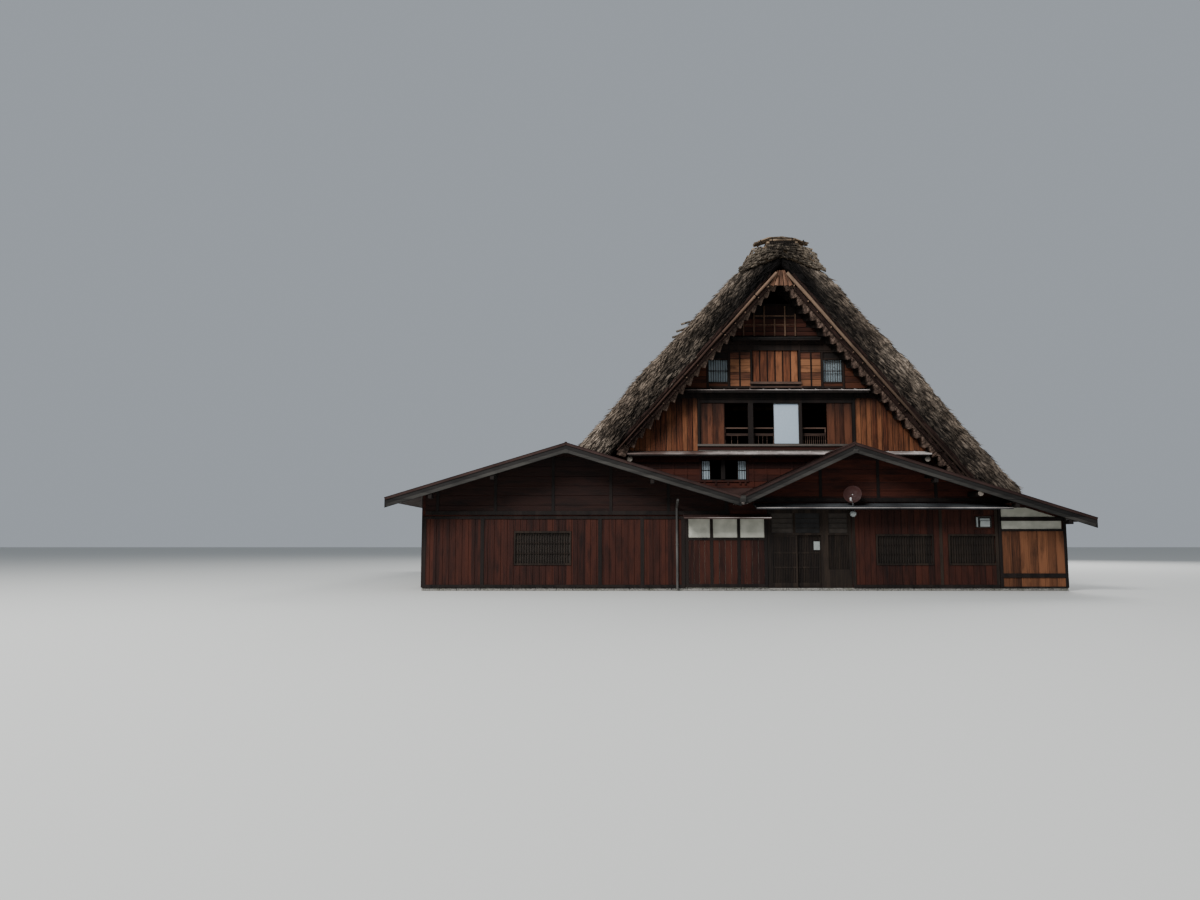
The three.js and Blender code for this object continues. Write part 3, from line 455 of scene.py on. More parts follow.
# The core of the ridge: a row of straw ends that stands upright in each gable's face over the layers,
# bound so tightly that it looks like one dark comb.
core_ends = begin("ridge_core_ends")
for far in (False, True):
    for k in range(13):
        y = verge_reach(12.2) + 0.03 + chance.uniform(0, 0.03)
        y = LENGTH + y if far else -y
        rods([((-0.45 + 0.075 * k, y, 12.16 + chance.uniform(-0.02, 0.02)),
               (-0.42 + 0.07 * k, y, 12.44), 0.042)])
close(core_ends, straw_rope)

# The bundles that lie across the ridge and weigh it down: two layers of level reed, a third bent down
# over them at both ends, and four straw ropes that hold each bundle to the thatch.
BUNDLES = 12
FIRST_BUNDLE = -1.433
bundle_step = (LENGTH - 2 * FIRST_BUNDLE) / (BUNDLES - 1)
bundle_middles = [FIRST_BUNDLE + i * bundle_step for i in range(BUNDLES)]
bundles = begin("ridge_bundles")
for middle in bundle_middles:
    for j in range(9):
        y = middle - 0.23 + j * 0.0575
        rods([((-0.56, y, 12.40), (0.56, y, 12.40 + chance.uniform(-0.02, 0.02)), 0.06)])
        rods([((-0.46, y, 12.50), (0.46, y, 12.50 + chance.uniform(-0.02, 0.02)), 0.055)])
        for side in (-1, 1):
            reach = chance.uniform(0.80, 1.02)
            lift = chance.uniform(-0.03, 0.025)
            knee = (side * 0.48, y + chance.uniform(-0.02, 0.02), 12.575 + lift)
            radius = chance.uniform(0.026, 0.042)
            rods([((-side * 0.06, y, 12.625), knee, radius),
                  (knee, (side * reach, y + chance.uniform(-0.06, 0.06), 12.43 + lift), radius)])
close(bundles, fresh_reed)

ropes = begin("ridge_ropes")
for middle in bundle_middles:
    for side in (-1, 1):
        for x, z in ((0.36, 12.585), (0.78, 12.49)):
            rods([((side * x, middle - 0.28, z), (side * x, middle + 0.28, z), 0.018)])
            for end in (-0.28, 0.28):
                rods([((side * x, middle + end, z), (side * x, middle + end, 12.3), 0.018)])
close(ropes, straw_rope)

rodded("ridge_poles",
       [((side * x, -verge_reach(z) - 0.05, z), (side * x, LENGTH + verge_reach(z) + 0.05, z), 0.035)
        for x, z in ((1.07, 12.15), (1.25, 11.9), (1.39, 11.62)) for side in (-1, 1)],
       8, fresh_reed)


# Under each verge: reed bundles laid like a flight of steps behind the thatch's edge, and in front
# of them one long peeled pole on each side, tied through the thatch with rope and pegged.
# The step bundles get painted shade where they lie tucked behind the verge's face.
step_reed = reed("verge_step_reed", ("#2a1e19", "#5e4c42", "#836e61", "#8d7869"), (40, 5, 40),
                 (9, 3, 9), 0.0, 0.35, recess_shade=0.9)
band_reed = reed("smoothed_verge_reed", ("#0d0705", "#2c1c17", "#42302a", "#4a3831"), (5, 40, 40),
                 (1.5, 9, 20), 0.0, 0.35)
POLE_RADIUS = 0.058
POLE_TOP, POLE_BELOW = 0.38, 0.085    # how far the poles begin below the apex, and lie under the thatch
POLE_ENDS = {1: 11.0, -1: 9.0}
GABLES = (("front", True), ("back", False))


def verge_point(side, along, below, behind, at_front):
    """A point on a verge: so far down its slope, under it, and behind its edge."""
    x, z = on_slope(along, below)
    reach = verge_reach(z) - behind
    return side * x, -reach if at_front else LENGTH + reach, z


def boarded(name, hexes, upright, pitch, streaks, darkened_heights=None, start=0.0, sloping=False):
    """Old sawn softwood, dull (IOR 1.5, roughness 0.82), its grain and stains along the board and each
    board of its own tone. Grain of 2 to 5 mm is drawn 2 to 4 cm wide so that it shows. The argument after
    streaks gives the heights that it darkens between: painted shade at the top of a wall's boards, under
    what juts out over them, and weathering down the poles."""
    material, tree, shader = surface(name, 0.82, specular=0.25)
    dark, middle, light = map(paint, hexes)
    _, (x, y, z) = placed(tree)
    level = node(tree, "ShaderNodeMath", {0: x, 1: y}, operation="ADD").outputs[0]
    across, along = (level, z) if upright else (z, level)
    if sloping:
        folded = fold(tree, x, y, z)
        turned = node(tree, "ShaderNodeMapping", {"Vector": folded, "Rotation": (0, -PITCH, 0)}).outputs[0]
        along, _, across = node(tree, "ShaderNodeSeparateXYZ", {0: turned}).outputs
    counted = node(tree, "ShaderNodeMath", {0: across, 1: 1 / pitch, 2: -start / pitch},
                   operation="MULTIPLY_ADD").outputs[0]
    board = node(tree, "ShaderNodeMath", {0: counted}, operation="FLOOR").outputs[0]
    tone = node(tree, "ShaderNodeTexWhiteNoise", {"W": board}, noise_dimensions="1D").outputs["Value"]
    shifted = node(tree, "ShaderNodeMath", {0: tone, 1: 40.0, 2: along}, operation="MULTIPLY_ADD").outputs[0]
    plane = node(tree, "ShaderNodeCombineXYZ", {0: across, 1: shifted, 2: 0.0}).outputs[0]
    lines = node(tree, "ShaderNodeMapping", {"Vector": plane, "Scale": (38, streaks, 1)}).outputs[0]
    grain = node(tree, "ShaderNodeTexNoise", {"Vector": lines, "Scale": 1.0, "Detail": 3.0}).outputs[0]
    spots = node(tree, "ShaderNodeMapping", {"Vector": plane, "Scale": (4, 0.9, 1)}).outputs[0]
    stain = node(tree, "ShaderNodeTexNoise",
                 {"Vector": spots, "Scale": 1.0, "Detail": 4.0, "Roughness": 0.6}).outputs[0]
    colour = layered(tree, dark, ((grain, 0.34, 0.62), middle), ((tone, 0, 1, 0, 0.75), light),
                     ((stain, 0.48, 0.72, 0, 0.8), dark))
    # Darker between two heights: painted shade at the top of a wall's boards, under what juts out over them,
    # and weathering down the poles.
    if darkened_heights:
        uneven = node(tree, "ShaderNodeMath", {0: stain, 1: 0.7, 2: z}, operation="MULTIPLY_ADD").outputs[0]
        colour = layered(tree, colour, ((uneven, darkened_heights[0] + 0.35, darkened_heights[1] + 0.35, 0, 0.9), dark))
    tree.links.new(colour, shader.inputs["Base Color"])
    bump = node(tree, "ShaderNodeBump", {"Strength": 0.6, "Distance": 0.012, "Height": grain})
    tree.links.new(bump.outputs[0], shader.inputs["Normal"])
    return material


FIRST_STEP = 0.45
STEP_TILT = radians(24)    # each bundle dips below the slope, so that its lower edge makes a tooth
STEP_DIP = radians(14)     # and its front end hangs a little
for side_name, at_front in GABLES:
    steps = begin(f"{side_name}_step_bundles")
    for side, count in ((1, 25), (-1, 21)):
        along = FIRST_STEP
        for i in range(count):
            step = 0.34 + 0.006 * i    # the bundles grow thicker down the slope
            along += step
            x, y, z = verge_point(side, along, 0.25 + chance.uniform(-0.014, 0.014),
                                  0.24 + chance.uniform(-0.03, 0.02), at_front)
            wall = -0.02 if at_front else LENGTH + 0.02
            dip = side * STEP_DIP * (1 if at_front else -1)
            turn = Matrix.Rotation(side * (PITCH + STEP_TILT), 3, "Y") @ Matrix.Rotation(dip, 3, "Z")
            middle = Vector((x, y, z)) + turn @ Vector((0, (wall - y) / 2, 0))
            bpy.ops.mesh.primitive_cube_add(size=1, location=at(*middle), rotation=turn.to_euler(),
                                            scale=(step * 0.97, abs(y - wall), 0.36))
    bpy.ops.mesh.select_all(action="SELECT")
    bpy.ops.transform.vertex_random(offset=0.012, seed=5)
    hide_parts(f"{side_name}_verge_steps")
    close(steps, step_reed, 0.02)

# The bands beside the poles: tightly dressed reed, one roll under the shaggy thatch and one above the
# steps, rammed smooth and tied down from end to end.
for side_name, at_front in GABLES:
    bands = begin(f"{side_name}_verge_bands")
    for side, end in ((1, 10.6), (-1, 8.6)):
        for first, below, behind, width in ((0.55, -0.04, 0.07, 0.16), (1.0, 0.2, 0.15, 0.17)):
            near = Vector(verge_point(side, first, below, behind, at_front))
            far = Vector(verge_point(side, end, below, behind, at_front))
            rods([(near, far, width / 2)], 12)
    close(bands, band_reed)

# The long poles, the straw ropes that tie them through the thatch, and the row of wooden pegs that is
# driven in under them: bark off, pale near the apex and blackened by weather further down.
peeled_pole = boarded("sunned_peeled_pole", ("#221712", "#674f40", "#8a725e"), True, 0.5, 1.2, (9.6, 5.5),
                      sloping=True)
smoked_pole = boarded("smoked_peeled_pole", ("#2b1812", "#634a3b", "#836a57"), True, 0.5, 1.2, (10.9, 8.8),
                      sloping=True)
FIRST_PEG, PEG_STEP = 0.9, 0.62
SEGMENTS = 8    # a pole thins and wavers a little from one segment to the next
for side_name, at_front in GABLES:
    for side, end in POLE_ENDS.items():
        pole = begin(f"{side_name}_{'right' if side > 0 else 'left'}_pole")
        for k in range(SEGMENTS):
            start, stop = (Vector(verge_point(side, POLE_TOP + (end - POLE_TOP) * share / SEGMENTS,
                                              POLE_BELOW + 0.005 * (-1) ** share, 0.02, at_front))
                           for share in (k, k + 1))
            rods([(start, stop + (stop - start) * 0.01, (POLE_RADIUS + 0.004 * side) * (1 - 0.06 * k))], 12)
        if side > 0:
            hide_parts(f"{side_name}_barge_poles")
        close(pole, peeled_pole if side > 0 else smoked_pole)
    ties = begin(f"{side_name}_pole_ties")
    pegs = []
    for side, end in POLE_ENDS.items():
        for k in range(int((end - FIRST_PEG) / PEG_STEP)):
            along = FIRST_PEG + k * PEG_STEP + chance.uniform(-0.16, 0.16)
            pegs.append((verge_point(side, along, 0.21, -0.02, at_front),
                         verge_point(side, along + 0.02, 0.21, 0.12, at_front), chance.uniform(0.014, 0.026)))
            if k % 3 == 1:
                near = Vector(verge_point(side, along, POLE_BELOW, 0.02, at_front))
                far = Vector(verge_point(side, along + 0.03, POLE_BELOW, 0.02, at_front))
                rods([(near, far, POLE_RADIUS * 1.06 - 0.0024 * along)], 10)
                rods([(verge_point(side, along + 0.02, 0.03, 0.04, at_front),
                       verge_point(side, along + 0.02, 0.25, 0.06, at_front), 0.012)])
    close(ties, straw_rope)
    rodded(f"{side_name}_verge_pegs", pegs, 8, peeled_pole, 0.004)

# The fan of tapered cedar boards that hangs in the apex of each gable, where the two poles meet: five
# thin boards nailed up side by side, broad at the foot.
fan = begin("apex_fans")
for at_front in (True, False):
    for k in range(5):
        turn = (k - 2) / 2
        y = 1.42 + 0.014 * (k % 2)
        top, foot = Vector((turn * 0.11, 0, 11.46)), Vector((turn * 0.35, 0, 10.89))
        middle = (top + foot) / 2
        bpy.ops.mesh.primitive_cone_add(
            vertices=4, radius1=0.079, radius2=0.026, depth=(top - foot).length,
            location=at(middle.x, -y if at_front else LENGTH + y, middle.z), scale=(1, 0.22, 1),
            rotation=(0, atan2(top.x - foot.x, top.z - foot.z), 0))
close(fan, boarded("apex_fan_cedar", ("#1e120c", "#664634", "#8c6852"), True, 0.13, 1.5),
      0.004)


# The frame inside: rafters, the poles across them, posts, beams, girders and floors of old timber,
# blackened by hearth smoke, rough hewn and without any polish.
smoked = boarded("smoked_timber", ("#090605", "#17110e", "#241b17"), True, 0.23, 1.6)
floor_wood = boarded("worn_floor_boards", ("#1a130f", "#3f2f23", "#554230"), True, 0.24, 1.4)


def coat(material, *names):
    """Gives CAD nodes that stay in view their material."""
    for name in names:
        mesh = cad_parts[name].data
        mesh.materials.clear()
        mesh.materials.append(material)


coat(smoked, "left_rafters", "right_rafters", "left_post_row", "right_post_row", "front_girder",
     "wing_frame", "entrance_frame")
coat(floor_wood, "main_floor", "mezzanine_floor", "second_floor", "third_floor")

end_grain = boarded("pale_end_grain", ("#4a423b", "#857b71", "#a59c91"), True, 1.0, 20)
rodded("log_ends", [((x, y - 0.006, 4.66), (x, y + 0.006, 4.66), 0.104)
                    for x in (-5.5, 5.5) for y in (-0.302, LENGTH + 0.302)],
       24, end_grain, 0.003)


# The window storey: upright cedar boards out to the slopes, then a dark frame of posts, lintel and
# worn sill round three openings, with red boards and a metal pent below the sill.
SLOPE_NORMAL = Vector((sin(PITCH), 0, cos(PITCH)))


def bars(boxes, face=0.0):
    """Adds a squared bar for each left, right, front, back, low and high, front and back from a face."""
    for left, right, front, back, low, high in boxes:
        bpy.ops.mesh.primitive_cube_add(
            size=1, location=at((left + right) / 2, face + (front + back) / 2, (low + high) / 2),
            scale=(right - left, back - front, high - low))


def built(name, boxes, material, edge, face=0.0, body="house"):
    """A piece of squared bars only."""
    piece = begin(name)
    bars(boxes, face)
    close(piece, material, edge, body)


def board_faces(face, away, slack=0.007):
    """Front and back of a board of about 2 cm on a wall, no two boards quite as thick."""
    return sorted((face, face + away * (0.018 + chance.uniform(0, slack))))


def upright_boards(left, right, low, high, width, face=0.0, away=-1, gap=0.010):
    """Upright boards side by side on a wall. away is the way they face."""
    count = max(1, round((right - left) / width))
    step = (right - left) / count
    for i in range(count):
        front, back = board_faces(face, away)
        foot = low - chance.uniform(0, 0.008)
        edge = left + i * step
        bars([(edge + gap / 2, edge + step - gap / 2, front, back, foot, high)])


def level_boards(left, right, low, high, width, face=0.0, away=-1, gap=0.010):
    """Level boards, one over another."""
    count = max(1, round((high - low) / width))
    step = (high - low) / count
    for i in range(count):
        front, back = board_faces(face, away)
        foot = low + i * step
        bars([(left, right, front, back, foot + gap / 2, foot + step - gap / 2)])


def trim_to_slopes():
    """Cuts a gable's work off a little below the thatch's underside."""
    for side in (-1, 1):
        x, z = on_slope(0, 0.14)
        trim(at(side * x, 0, z), (side * SLOPE_NORMAL.x, 0, SLOPE_NORMAL.z))


def boarding(name, lay, runs, material, edge, trimmed=False):
    """A piece of boards only, laid upright or level, in one or more runs."""
    piece = begin(name)
    for run in runs:
        lay(*run)
    if trimmed:
        trim_to_slopes()
    close(piece, material, edge)


# The woods of the outside, all dull and dark with age: cedar still orange under the eaves, pine stained
# red-brown, and bare wood gone grey. boarded says how each looks near to.
CEDAR_PITCH = 2.95 / 15    # from one cedar board to the next
SILL, HEAD = 5.245, 6.785    # of the three openings
# Both cedars darken towards the top of the storey: painted shade under the middle pent.
cedar = boarded("orange_cedar_boards", ("#150a06", "#462618", "#754731"), True, CEDAR_PITCH, 1.3, (5.9, 6.95))
sunned_cedar = boarded("sunned_cedar_boards", ("#150905", "#663822", "#8f5b3b"), True, CEDAR_PITCH, 1.3,
                       (6.2, 7.05))
red_level = boarded("red_brown_level_boards", ("#130604", "#2f130c", "#4a2013"), False, 0.24, 1.3)
red_upright = boarded("red_brown_upright_boards", ("#130604", "#2f140d", "#472115"), True, 0.21, 1.3)
grey_wood = boarded("weathered_grey_wood", ("#231f1d", "#49433f", "#6b645d"), False, 0.5, 1.1)
coat(smoked, "front_wall_second", "back_wall_second", "front_wall_third", "front_wall_lattice")

boards = begin("second_cedar_boards")
for left in (-32, 15):
    upright_boards(left * CEDAR_PITCH, (left + 17) * CEDAR_PITCH, 4.99, 7.1, CEDAR_PITCH, gap=0.024)
    bars([(i * CEDAR_PITCH + 0.006, i * CEDAR_PITCH + 0.022, -0.034, 0, 4.99, 7.1)
          for i in range(left, left + 18, 2)])
trim_to_slopes()
close(boards, sunned_cedar, 0.003)

beams = begin("second_dark_frame")
bars([(-6.0, 6.0, -0.03, -0.001, 6.97, 7.27), (-2.93, 2.93, -0.028, 0.0, 6.79, 6.91),
      (-1.055, -0.865, -0.03, 0.1, 5.2, 6.82), (0.85, 0.96, -0.03, 0.1, 5.2, 6.82),
      (-2.94, -2.87, -0.045, 0.02, 5.12, 6.96), (2.87, 2.94, -0.045, 0.02, 5.12, 6.96),
      (-2.99, 2.99, -0.05, -0.004, 6.915, 6.965)])
trim_to_slopes()
close(beams, smoked, 0.006)

rail_wood = boarded("handled_rail_wood", ("#1e1411", "#46342b", "#6d564a"), False, 0.3, 1.5)
built("second_worn_rails", [(-2.97, 2.97, -0.075, -0.002, 5.155, 5.235),
                            (-2.93, 2.93, -0.05, -0.002, 4.975, 5.01)], grey_wood, 0.006)

boarding("second_apron_boards", level_boards, [(-2.93, 2.93, 5.01, 5.15, 0.14)], red_level,
         0.003)

for name, (left, right), count in (("front_shutter_left", (-2.83, -1.93), 2),
                                   ("front_shutter_right", (1.88, 2.83), 3)):
    leaf = begin(f"{name}_boards")
    upright_boards(left + 0.005, right - 0.005, SILL, HEAD, (right - left) / count, 0.03, gap=0.014)
    bars([(left + 0.01, right - 0.01, 0.03, 0.05, z, z + 0.09) for z in (5.4, 6.5)])
    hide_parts(name)
    close(leaf, cedar, 0.003)

railing = begin("window_railing")
bars([(-1.925, 1.875, 0.122, 0.165, 5.83, 5.88)])
bars([(-1.925, 1.875, 0.122, 0.158, 5.56, 5.66)])
for left, right, step in ((-1.9, -0.98, 0.23), (-0.98, -0.1, 0.16), (-0.1, 1.87, 0.075)):
    for i in range(int((right - left) / step)):
        x = left + i * step
        bars([(x - 0.01, x + 0.01, 0.128, 0.15, 5.035, 5.57)])
for x in (-1.9, -0.96, 0.0, 0.9, 1.85):
    bars([(x - 0.02, x + 0.02, 0.124, 0.162, 5.035, 5.85)])
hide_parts("front_railing")
close(railing, rail_wood, 0.004)

# The paper screen that slides behind the opening: white paper pasted on a thin frame of grey wood,
# faintly blue in the shade of the room.
def mottled(name, hexes, roughness, scale, detail=2.0, ior=1.5, specular=0.5):
    """A material of one soft pattern between two tones."""
    material, tree, shader = surface(name, roughness, ior, specular=specular)
    spot = node(tree, "ShaderNodeTexCoord", {}).outputs["Object"]
    first, second = map(paint, hexes)
    clouds = node(tree, "ShaderNodeTexNoise", {"Vector": spot, "Scale": scale, "Detail": detail}).outputs[0]
    tree.links.new(layered(tree, first, (clouds, second)), shader.inputs["Base Color"])
    return material


# Handmade paper, soft and matt: IOR 1.45, roughness 0.85, its fibre clouds of 1 cm drawn 7 cm wide
screen_paper = mottled("screen_paper", ("#a4b5c4", "#bbc8d4"), 0.85, 14.0, 3.0, 1.45)
coat(screen_paper, "front_screen")
built("screen_frame", [(-0.1, -0.08, 0.05, 0.08, SILL, HEAD), (0.83, 0.85, 0.05, 0.08, SILL, HEAD),
                       (-0.1, 0.85, 0.05, 0.08, SILL, 5.27), (-0.1, 0.85, 0.05, 0.08, 6.76, HEAD)],
      grey_wood, 0.003)


# The storey above: a lifting door of six broad boards in the middle, two panels of short level
# boards on each side of it, a barred window beyond them, and level boards out to the slopes.
coat(red_level, "back_wall_third", "front_wall_mezzanine", "front_wall_mezzanine_right", "back_wall_lower")
DOOR_HALF, DOOR_FOOT, DOOR_TOP = 0.865, 7.605, 8.975
DOOR_BOARD = DOOR_HALF / 3
# The door darkens towards its top: painted shade under the upper pent.
pale_cedar = boarded("pale_cedar_door", ("#28130c", "#703f28", "#a26b48"), True, DOOR_BOARD, 1.2, (8.5, 9.1))
door = begin("third_door_boards")
upright_boards(-DOOR_HALF, DOOR_HALF, DOOR_FOOT, DOOR_TOP, DOOR_BOARD, 0.05, gap=0.055)
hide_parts("third_board_door")
close(door, pale_cedar, 0.006)
built("third_door_back_boards", [(-DOOR_HALF, DOOR_HALF, 0.052, 0.08, DOOR_FOOT, DOOR_TOP)], cedar,
      0.003)

WALL_FOOT, PANEL_FOOT, PANEL_HEAD = 7.34, 7.42, 8.72
panels = begin("third_panel_boards")
for side in (-1, 1):
    for near, far in ((0.95, 1.31), (1.37, 1.70)):
        left, right = sorted((side * near, side * far))
        level_boards(left, right, PANEL_FOOT, PANEL_HEAD, 0.26, gap=0.016)
# These boards darken towards their top: painted shade under the upper pent.
close(panels, boarded("orange_level_boards", ("#281510", "#633b29", "#9b6a48"), False, 0.26, 1.3,
                      (8.5, 9.2), PANEL_FOOT), 0.004)

outer_boards = begin("third_outer_boards")
for side in (-1, 1):
    left, right = sorted((side * 1.80, side * 2.51))
    level_boards(left, right, WALL_FOOT, 7.55, 0.2)
    left, right = sorted((side * 2.6, side * 4.2))
    level_boards(left, right, WALL_FOOT, PANEL_HEAD, 0.23, gap=0.016)
trim_to_slopes()
# These boards darken towards their top: painted shade under the overhangs above them.
close(outer_boards, boarded("brown_level_boards", ("#1c0b06", "#3f2013", "#5c3320"), False, 0.23, 1.3,
                            (8.4, 9.1), WALL_FOOT), 0.004)

frames = begin("third_dark_frame")
level_boards(-4.0, 4.0, 8.78, 9.24, 0.23)
for side in (-1, 1):
    for x, low, high in ((0.91, WALL_FOOT, 9.26), (1.755, WALL_FOOT, 8.76), (2.555, WALL_FOOT, 8.76)):
        bars([(side * x - 0.03, side * x + 0.03, -0.045, 0.02, low, high)])
    bars([(side * 1.34 - 0.022, side * 1.34 + 0.022, -0.038, -0.001, PANEL_FOOT, PANEL_HEAD)])
    left, right = sorted((side * 0.94, side * 2.6))
    bars([(left, right, -0.04, 0.0, low, high) for low, high in ((8.71, 8.77), (WALL_FOOT, PANEL_FOOT))])
    left, right = sorted((side * 1.79, side * 2.52))
    bars([(left, right, -0.04, 0.05, 7.53, 7.59), (left, right, -0.04, 0.05, 8.43, 8.49),
          (left, right, -0.012, 0.02, 7.99, 8.02)])
    for i in range(7):
        x = side * (1.8 + 0.71 * (i + 1) / 8)
        bars([(x - 0.011, x + 0.011, -0.01, 0.02, 7.58, 8.44)])
trim_to_slopes()
close(frames, boarded("dark_brown_frame", ("#0a0604", "#1c120d", "#2b1e17"), True, 0.3, 1.5),
      0.004)

built("third_worn_ledge", [(-0.97, 0.97, -0.075, 0.0, 7.5, 7.59), (-0.99, 0.99, -0.05, 0.0, 7.36, 7.42)],
      rail_wood, 0.006)

# Old window glass that gives back the pale sky: IOR 1.5, roughness 0.22, its waves of 3 cm drawn 45 cm
# wide, as the sky's bright and dark places lie in it
panes = mottled("old_window_glass", ("#6b7980", "#b2bfc4"), 0.22, 2.2)
coat(panes, "third_panes")


# The slatted top of the gable: short level boards nailed behind grey studs, and above them a vent
# that lets the hearth's smoke out under the ridge.
slats = begin("lattice_boards")
level_boards(-1.9, 1.9, 9.36, 9.69, 0.165, 0.04, gap=0.02)
level_boards(-1.2, 1.2, 9.69, 10.185, 0.165, 0.04, gap=0.02)
upright_boards(-0.36, 0.36, 10.19, 10.52, 0.09, 0.04)
trim_to_slopes()
# The slats darken towards their top: painted shade under the thatch at the apex.
lattice_boards = boarded("lattice_red_boards", ("#140806", "#361a12", "#532d21"), False, 0.165, 1.3,
                         (9.7, 10.3), 9.36)
close(slats, lattice_boards, 0.003)
studs = begin("lattice_studs")
for x, high in ((-1.18, 9.9), (-0.78, 10.2), (-0.39, 10.5), (0, 10.0), (0.39, 10.5), (0.78, 10.2)):
    bars([(x - 0.024, x + 0.024, -0.03, 0.02, 9.34, high)])
bars([(-0.8, 0.8, -0.022, 0.01, 10.10, 10.14), (-1.2, 0.8, -0.015, 0.01, 9.76, 9.79)])
trim_to_slopes()
close(studs, boarded("sunned_stud_wood", ("#2e2019", "#69503f", "#93765f"), True, 0.4, 1.5),
      0.004)


# The low storey: red-brown level boards with a batten at each quarter bay, and one window with a
# sash at each end, on a sill with blocks under it. The low roofs of wing and hall lean against it.
LOW_RIDGE = 4.79    # the height of both low ridges
WING_RIDGE, VALLEY, HALL_RIDGE = -7.71, -1.98, 1.7    # where they and the valley lie along the front
WING_FALL, HALL_FALL_LEFT, HALL_FALL_RIGHT = 0.305, 0.465, 0.315    # of the slopes, for each metre
BATTEN_STEP = 0.485
VALLEY_TOP = LOW_RIDGE - HALL_FALL_LEFT * (HALL_RIDGE - VALLEY)
for name, left, right, full, beside, foot, fall in (
        ("wing", -6.4, VALLEY, (-6.4, -2.88), (-2.88, VALLEY), (VALLEY, VALLEY_TOP), -WING_FALL),
        ("hall", VALLEY, HALL_RIDGE, (-1.1, HALL_RIDGE), (VALLEY, -1.1), (HALL_RIDGE, LOW_RIDGE),
         HALL_FALL_LEFT),
        ("eave", HALL_RIDGE, 6.35, (HALL_RIDGE, 6.35), None, (HALL_RIDGE, LOW_RIDGE), -HALL_FALL_RIGHT)):
    for kind in ("boards", "battens"):
        work = begin(f"mezzanine_{name}_{kind}")
        if kind == "boards":
            level_boards(*full, 3.6, 4.8, 0.24)
            if beside:    # the boards under and over the window
                level_boards(*beside, 3.6, 3.82, 0.22)
                level_boards(*beside, 4.68, 4.8, 0.12)
        else:
            x = left + 0.1
            while x < right:
                if not -2.95 < x < -1.05:    # none before the window
                    bars([(x - 0.028, x + 0.028, -0.045, -0.001, 3.62, 4.84)])
                x += BATTEN_STEP
        trim(at(foot[0], 0, foot[1] + 0.012), (fall, 0, -1))
        trim_to_slopes()
        close(work, red_level, 0.003)

SASH_LEFTS, SASH_WIDTH = (-2.83, -1.49), 0.34
sill_work = begin("mezzanine_sill")
bars([(-2.9, -1.08, -0.07, 0.02, 3.82, 3.88), (-2.9, -1.08, -0.04, 0.02, 4.64, 4.69),
      (-2.9, -2.83, -0.045, 0.02, 3.82, 4.69), (-1.15, -1.08, -0.045, 0.02, 3.82, 4.69)])
for x in (-2.72, -2.3, -1.85, -1.4, -1.2):
    bars([(x - 0.035, x + 0.035, -0.06, 0.0, 3.72, 3.82)])
close(sill_work, red_upright, 0.004)

sashes = begin("mezzanine_sashes")
for left in SASH_LEFTS:
    right = left + SASH_WIDTH
    bars([(left, left + 0.03, 0.012, 0.05, 3.88, 4.64), (right - 0.03, right, 0.012, 0.05, 3.88, 4.64),
          (left, right, 0.012, 0.05, 3.885, 3.93), (left, right, 0.012, 0.05, 4.6, 4.635),
          (left, right, 0.018, 0.035, 4.25, 4.275)])
    middles = [left + SASH_WIDTH / 4 * k for k in (1, 2, 3)]
    bars([(x - 0.008, x + 0.008, 0.018, 0.035, 3.9, 4.62) for x in middles])
bars([(-2.1, -1.94, 0.01, 0.06, 3.885, 4.635), (-2.83, -1.15, 0.01, 0.06, 3.885, 3.92)])
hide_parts("mezzanine_window")
close(sashes, smoked, 0.003)
built("mezzanine_sash_panes", [(left + 0.02, left + 0.32, 0.04, 0.046, 3.9, 4.62) for left in SASH_LEFTS],
      panes, 0.001)


# The pents of the gable: narrow roofs of galvanised sheet over boards, folded down at the front
# edge and seamed each half bay, dulled to a pale chalky grey with some rust.
def sheet_metal(name, hexes, roughness, rust, fade=None):
    """Painted or galvanised sheet, dulled by weather: soft stains of 11 and 90 cm that stand for the
    finer spots and the broad tide marks. A metal keeps the default IOR; chalked paint hides most of the
    metal, so metallic is 0.1. fade gives the two places along the gable that rust clears between."""
    material, tree, shader = surface(name, roughness, metallic=0.1, specular=0.2)
    dark, light, rusty = map(paint, hexes)
    spot = node(tree, "ShaderNodeTexCoord", {}).outputs["Object"]
    wide = node(tree, "ShaderNodeTexNoise", {"Vector": spot, "Scale": 1.1, "Detail": 4.0}).outputs[0]
    small = node(tree, "ShaderNodeTexNoise", {"Vector": spot, "Scale": 9.0, "Detail": 3.0}).outputs[0]
    colour = layered(tree, dark, ((wide, 0.35, 0.65), light), ((small, rust, rust + 0.18, 0, 0.8), rusty))
    if fade:
        along = node(tree, "ShaderNodeSeparateXYZ", {0: spot}).outputs[0]
        spotted = node(tree, "ShaderNodeMath", {0: wide, 1: 4.0, 2: along}, operation="MULTIPLY_ADD").outputs[0]
        colour = layered(tree, colour,
                         ((spotted, ORIGIN.x + fade[0] + 2, ORIGIN.x + fade[1] + 2, 0.85, 0), rusty))
    tree.links.new(colour, shader.inputs["Base Color"])
    uneven = node(tree, "ShaderNodeMapRange", {0: small, 1: 0.3, 2: 0.7, 3: roughness - 0.1,
                                               4: roughness + 0.15})
    tree.links.new(uneven.outputs[0], shader.inputs["Roughness"])
    bump = node(tree, "ShaderNodeBump", {"Strength": 0.25, "Distance": 0.006, "Height": wide})
    tree.links.new(bump.outputs[0], shader.inputs["Normal"])
    return material


pent_sheet = sheet_metal("dulled_pent_sheet", ("#8a807c", "#d6ccc6", "#4a332b"), 0.5, 0.64, (-4, 0))
# A near-black copy of the pent sheet: painted shade for the middle and upper pents, which lie in deep shadow
# under the overhangs above them.
pent_sheet_in_shade = sheet_metal("pent_sheet_painted_shade", ("#100e0d", "#262321", "#1f1511"), 0.6, 0.62)
coat(pent_sheet, "lower_pent")
coat(pent_sheet_in_shade, "middle_pent", "upper_pent")
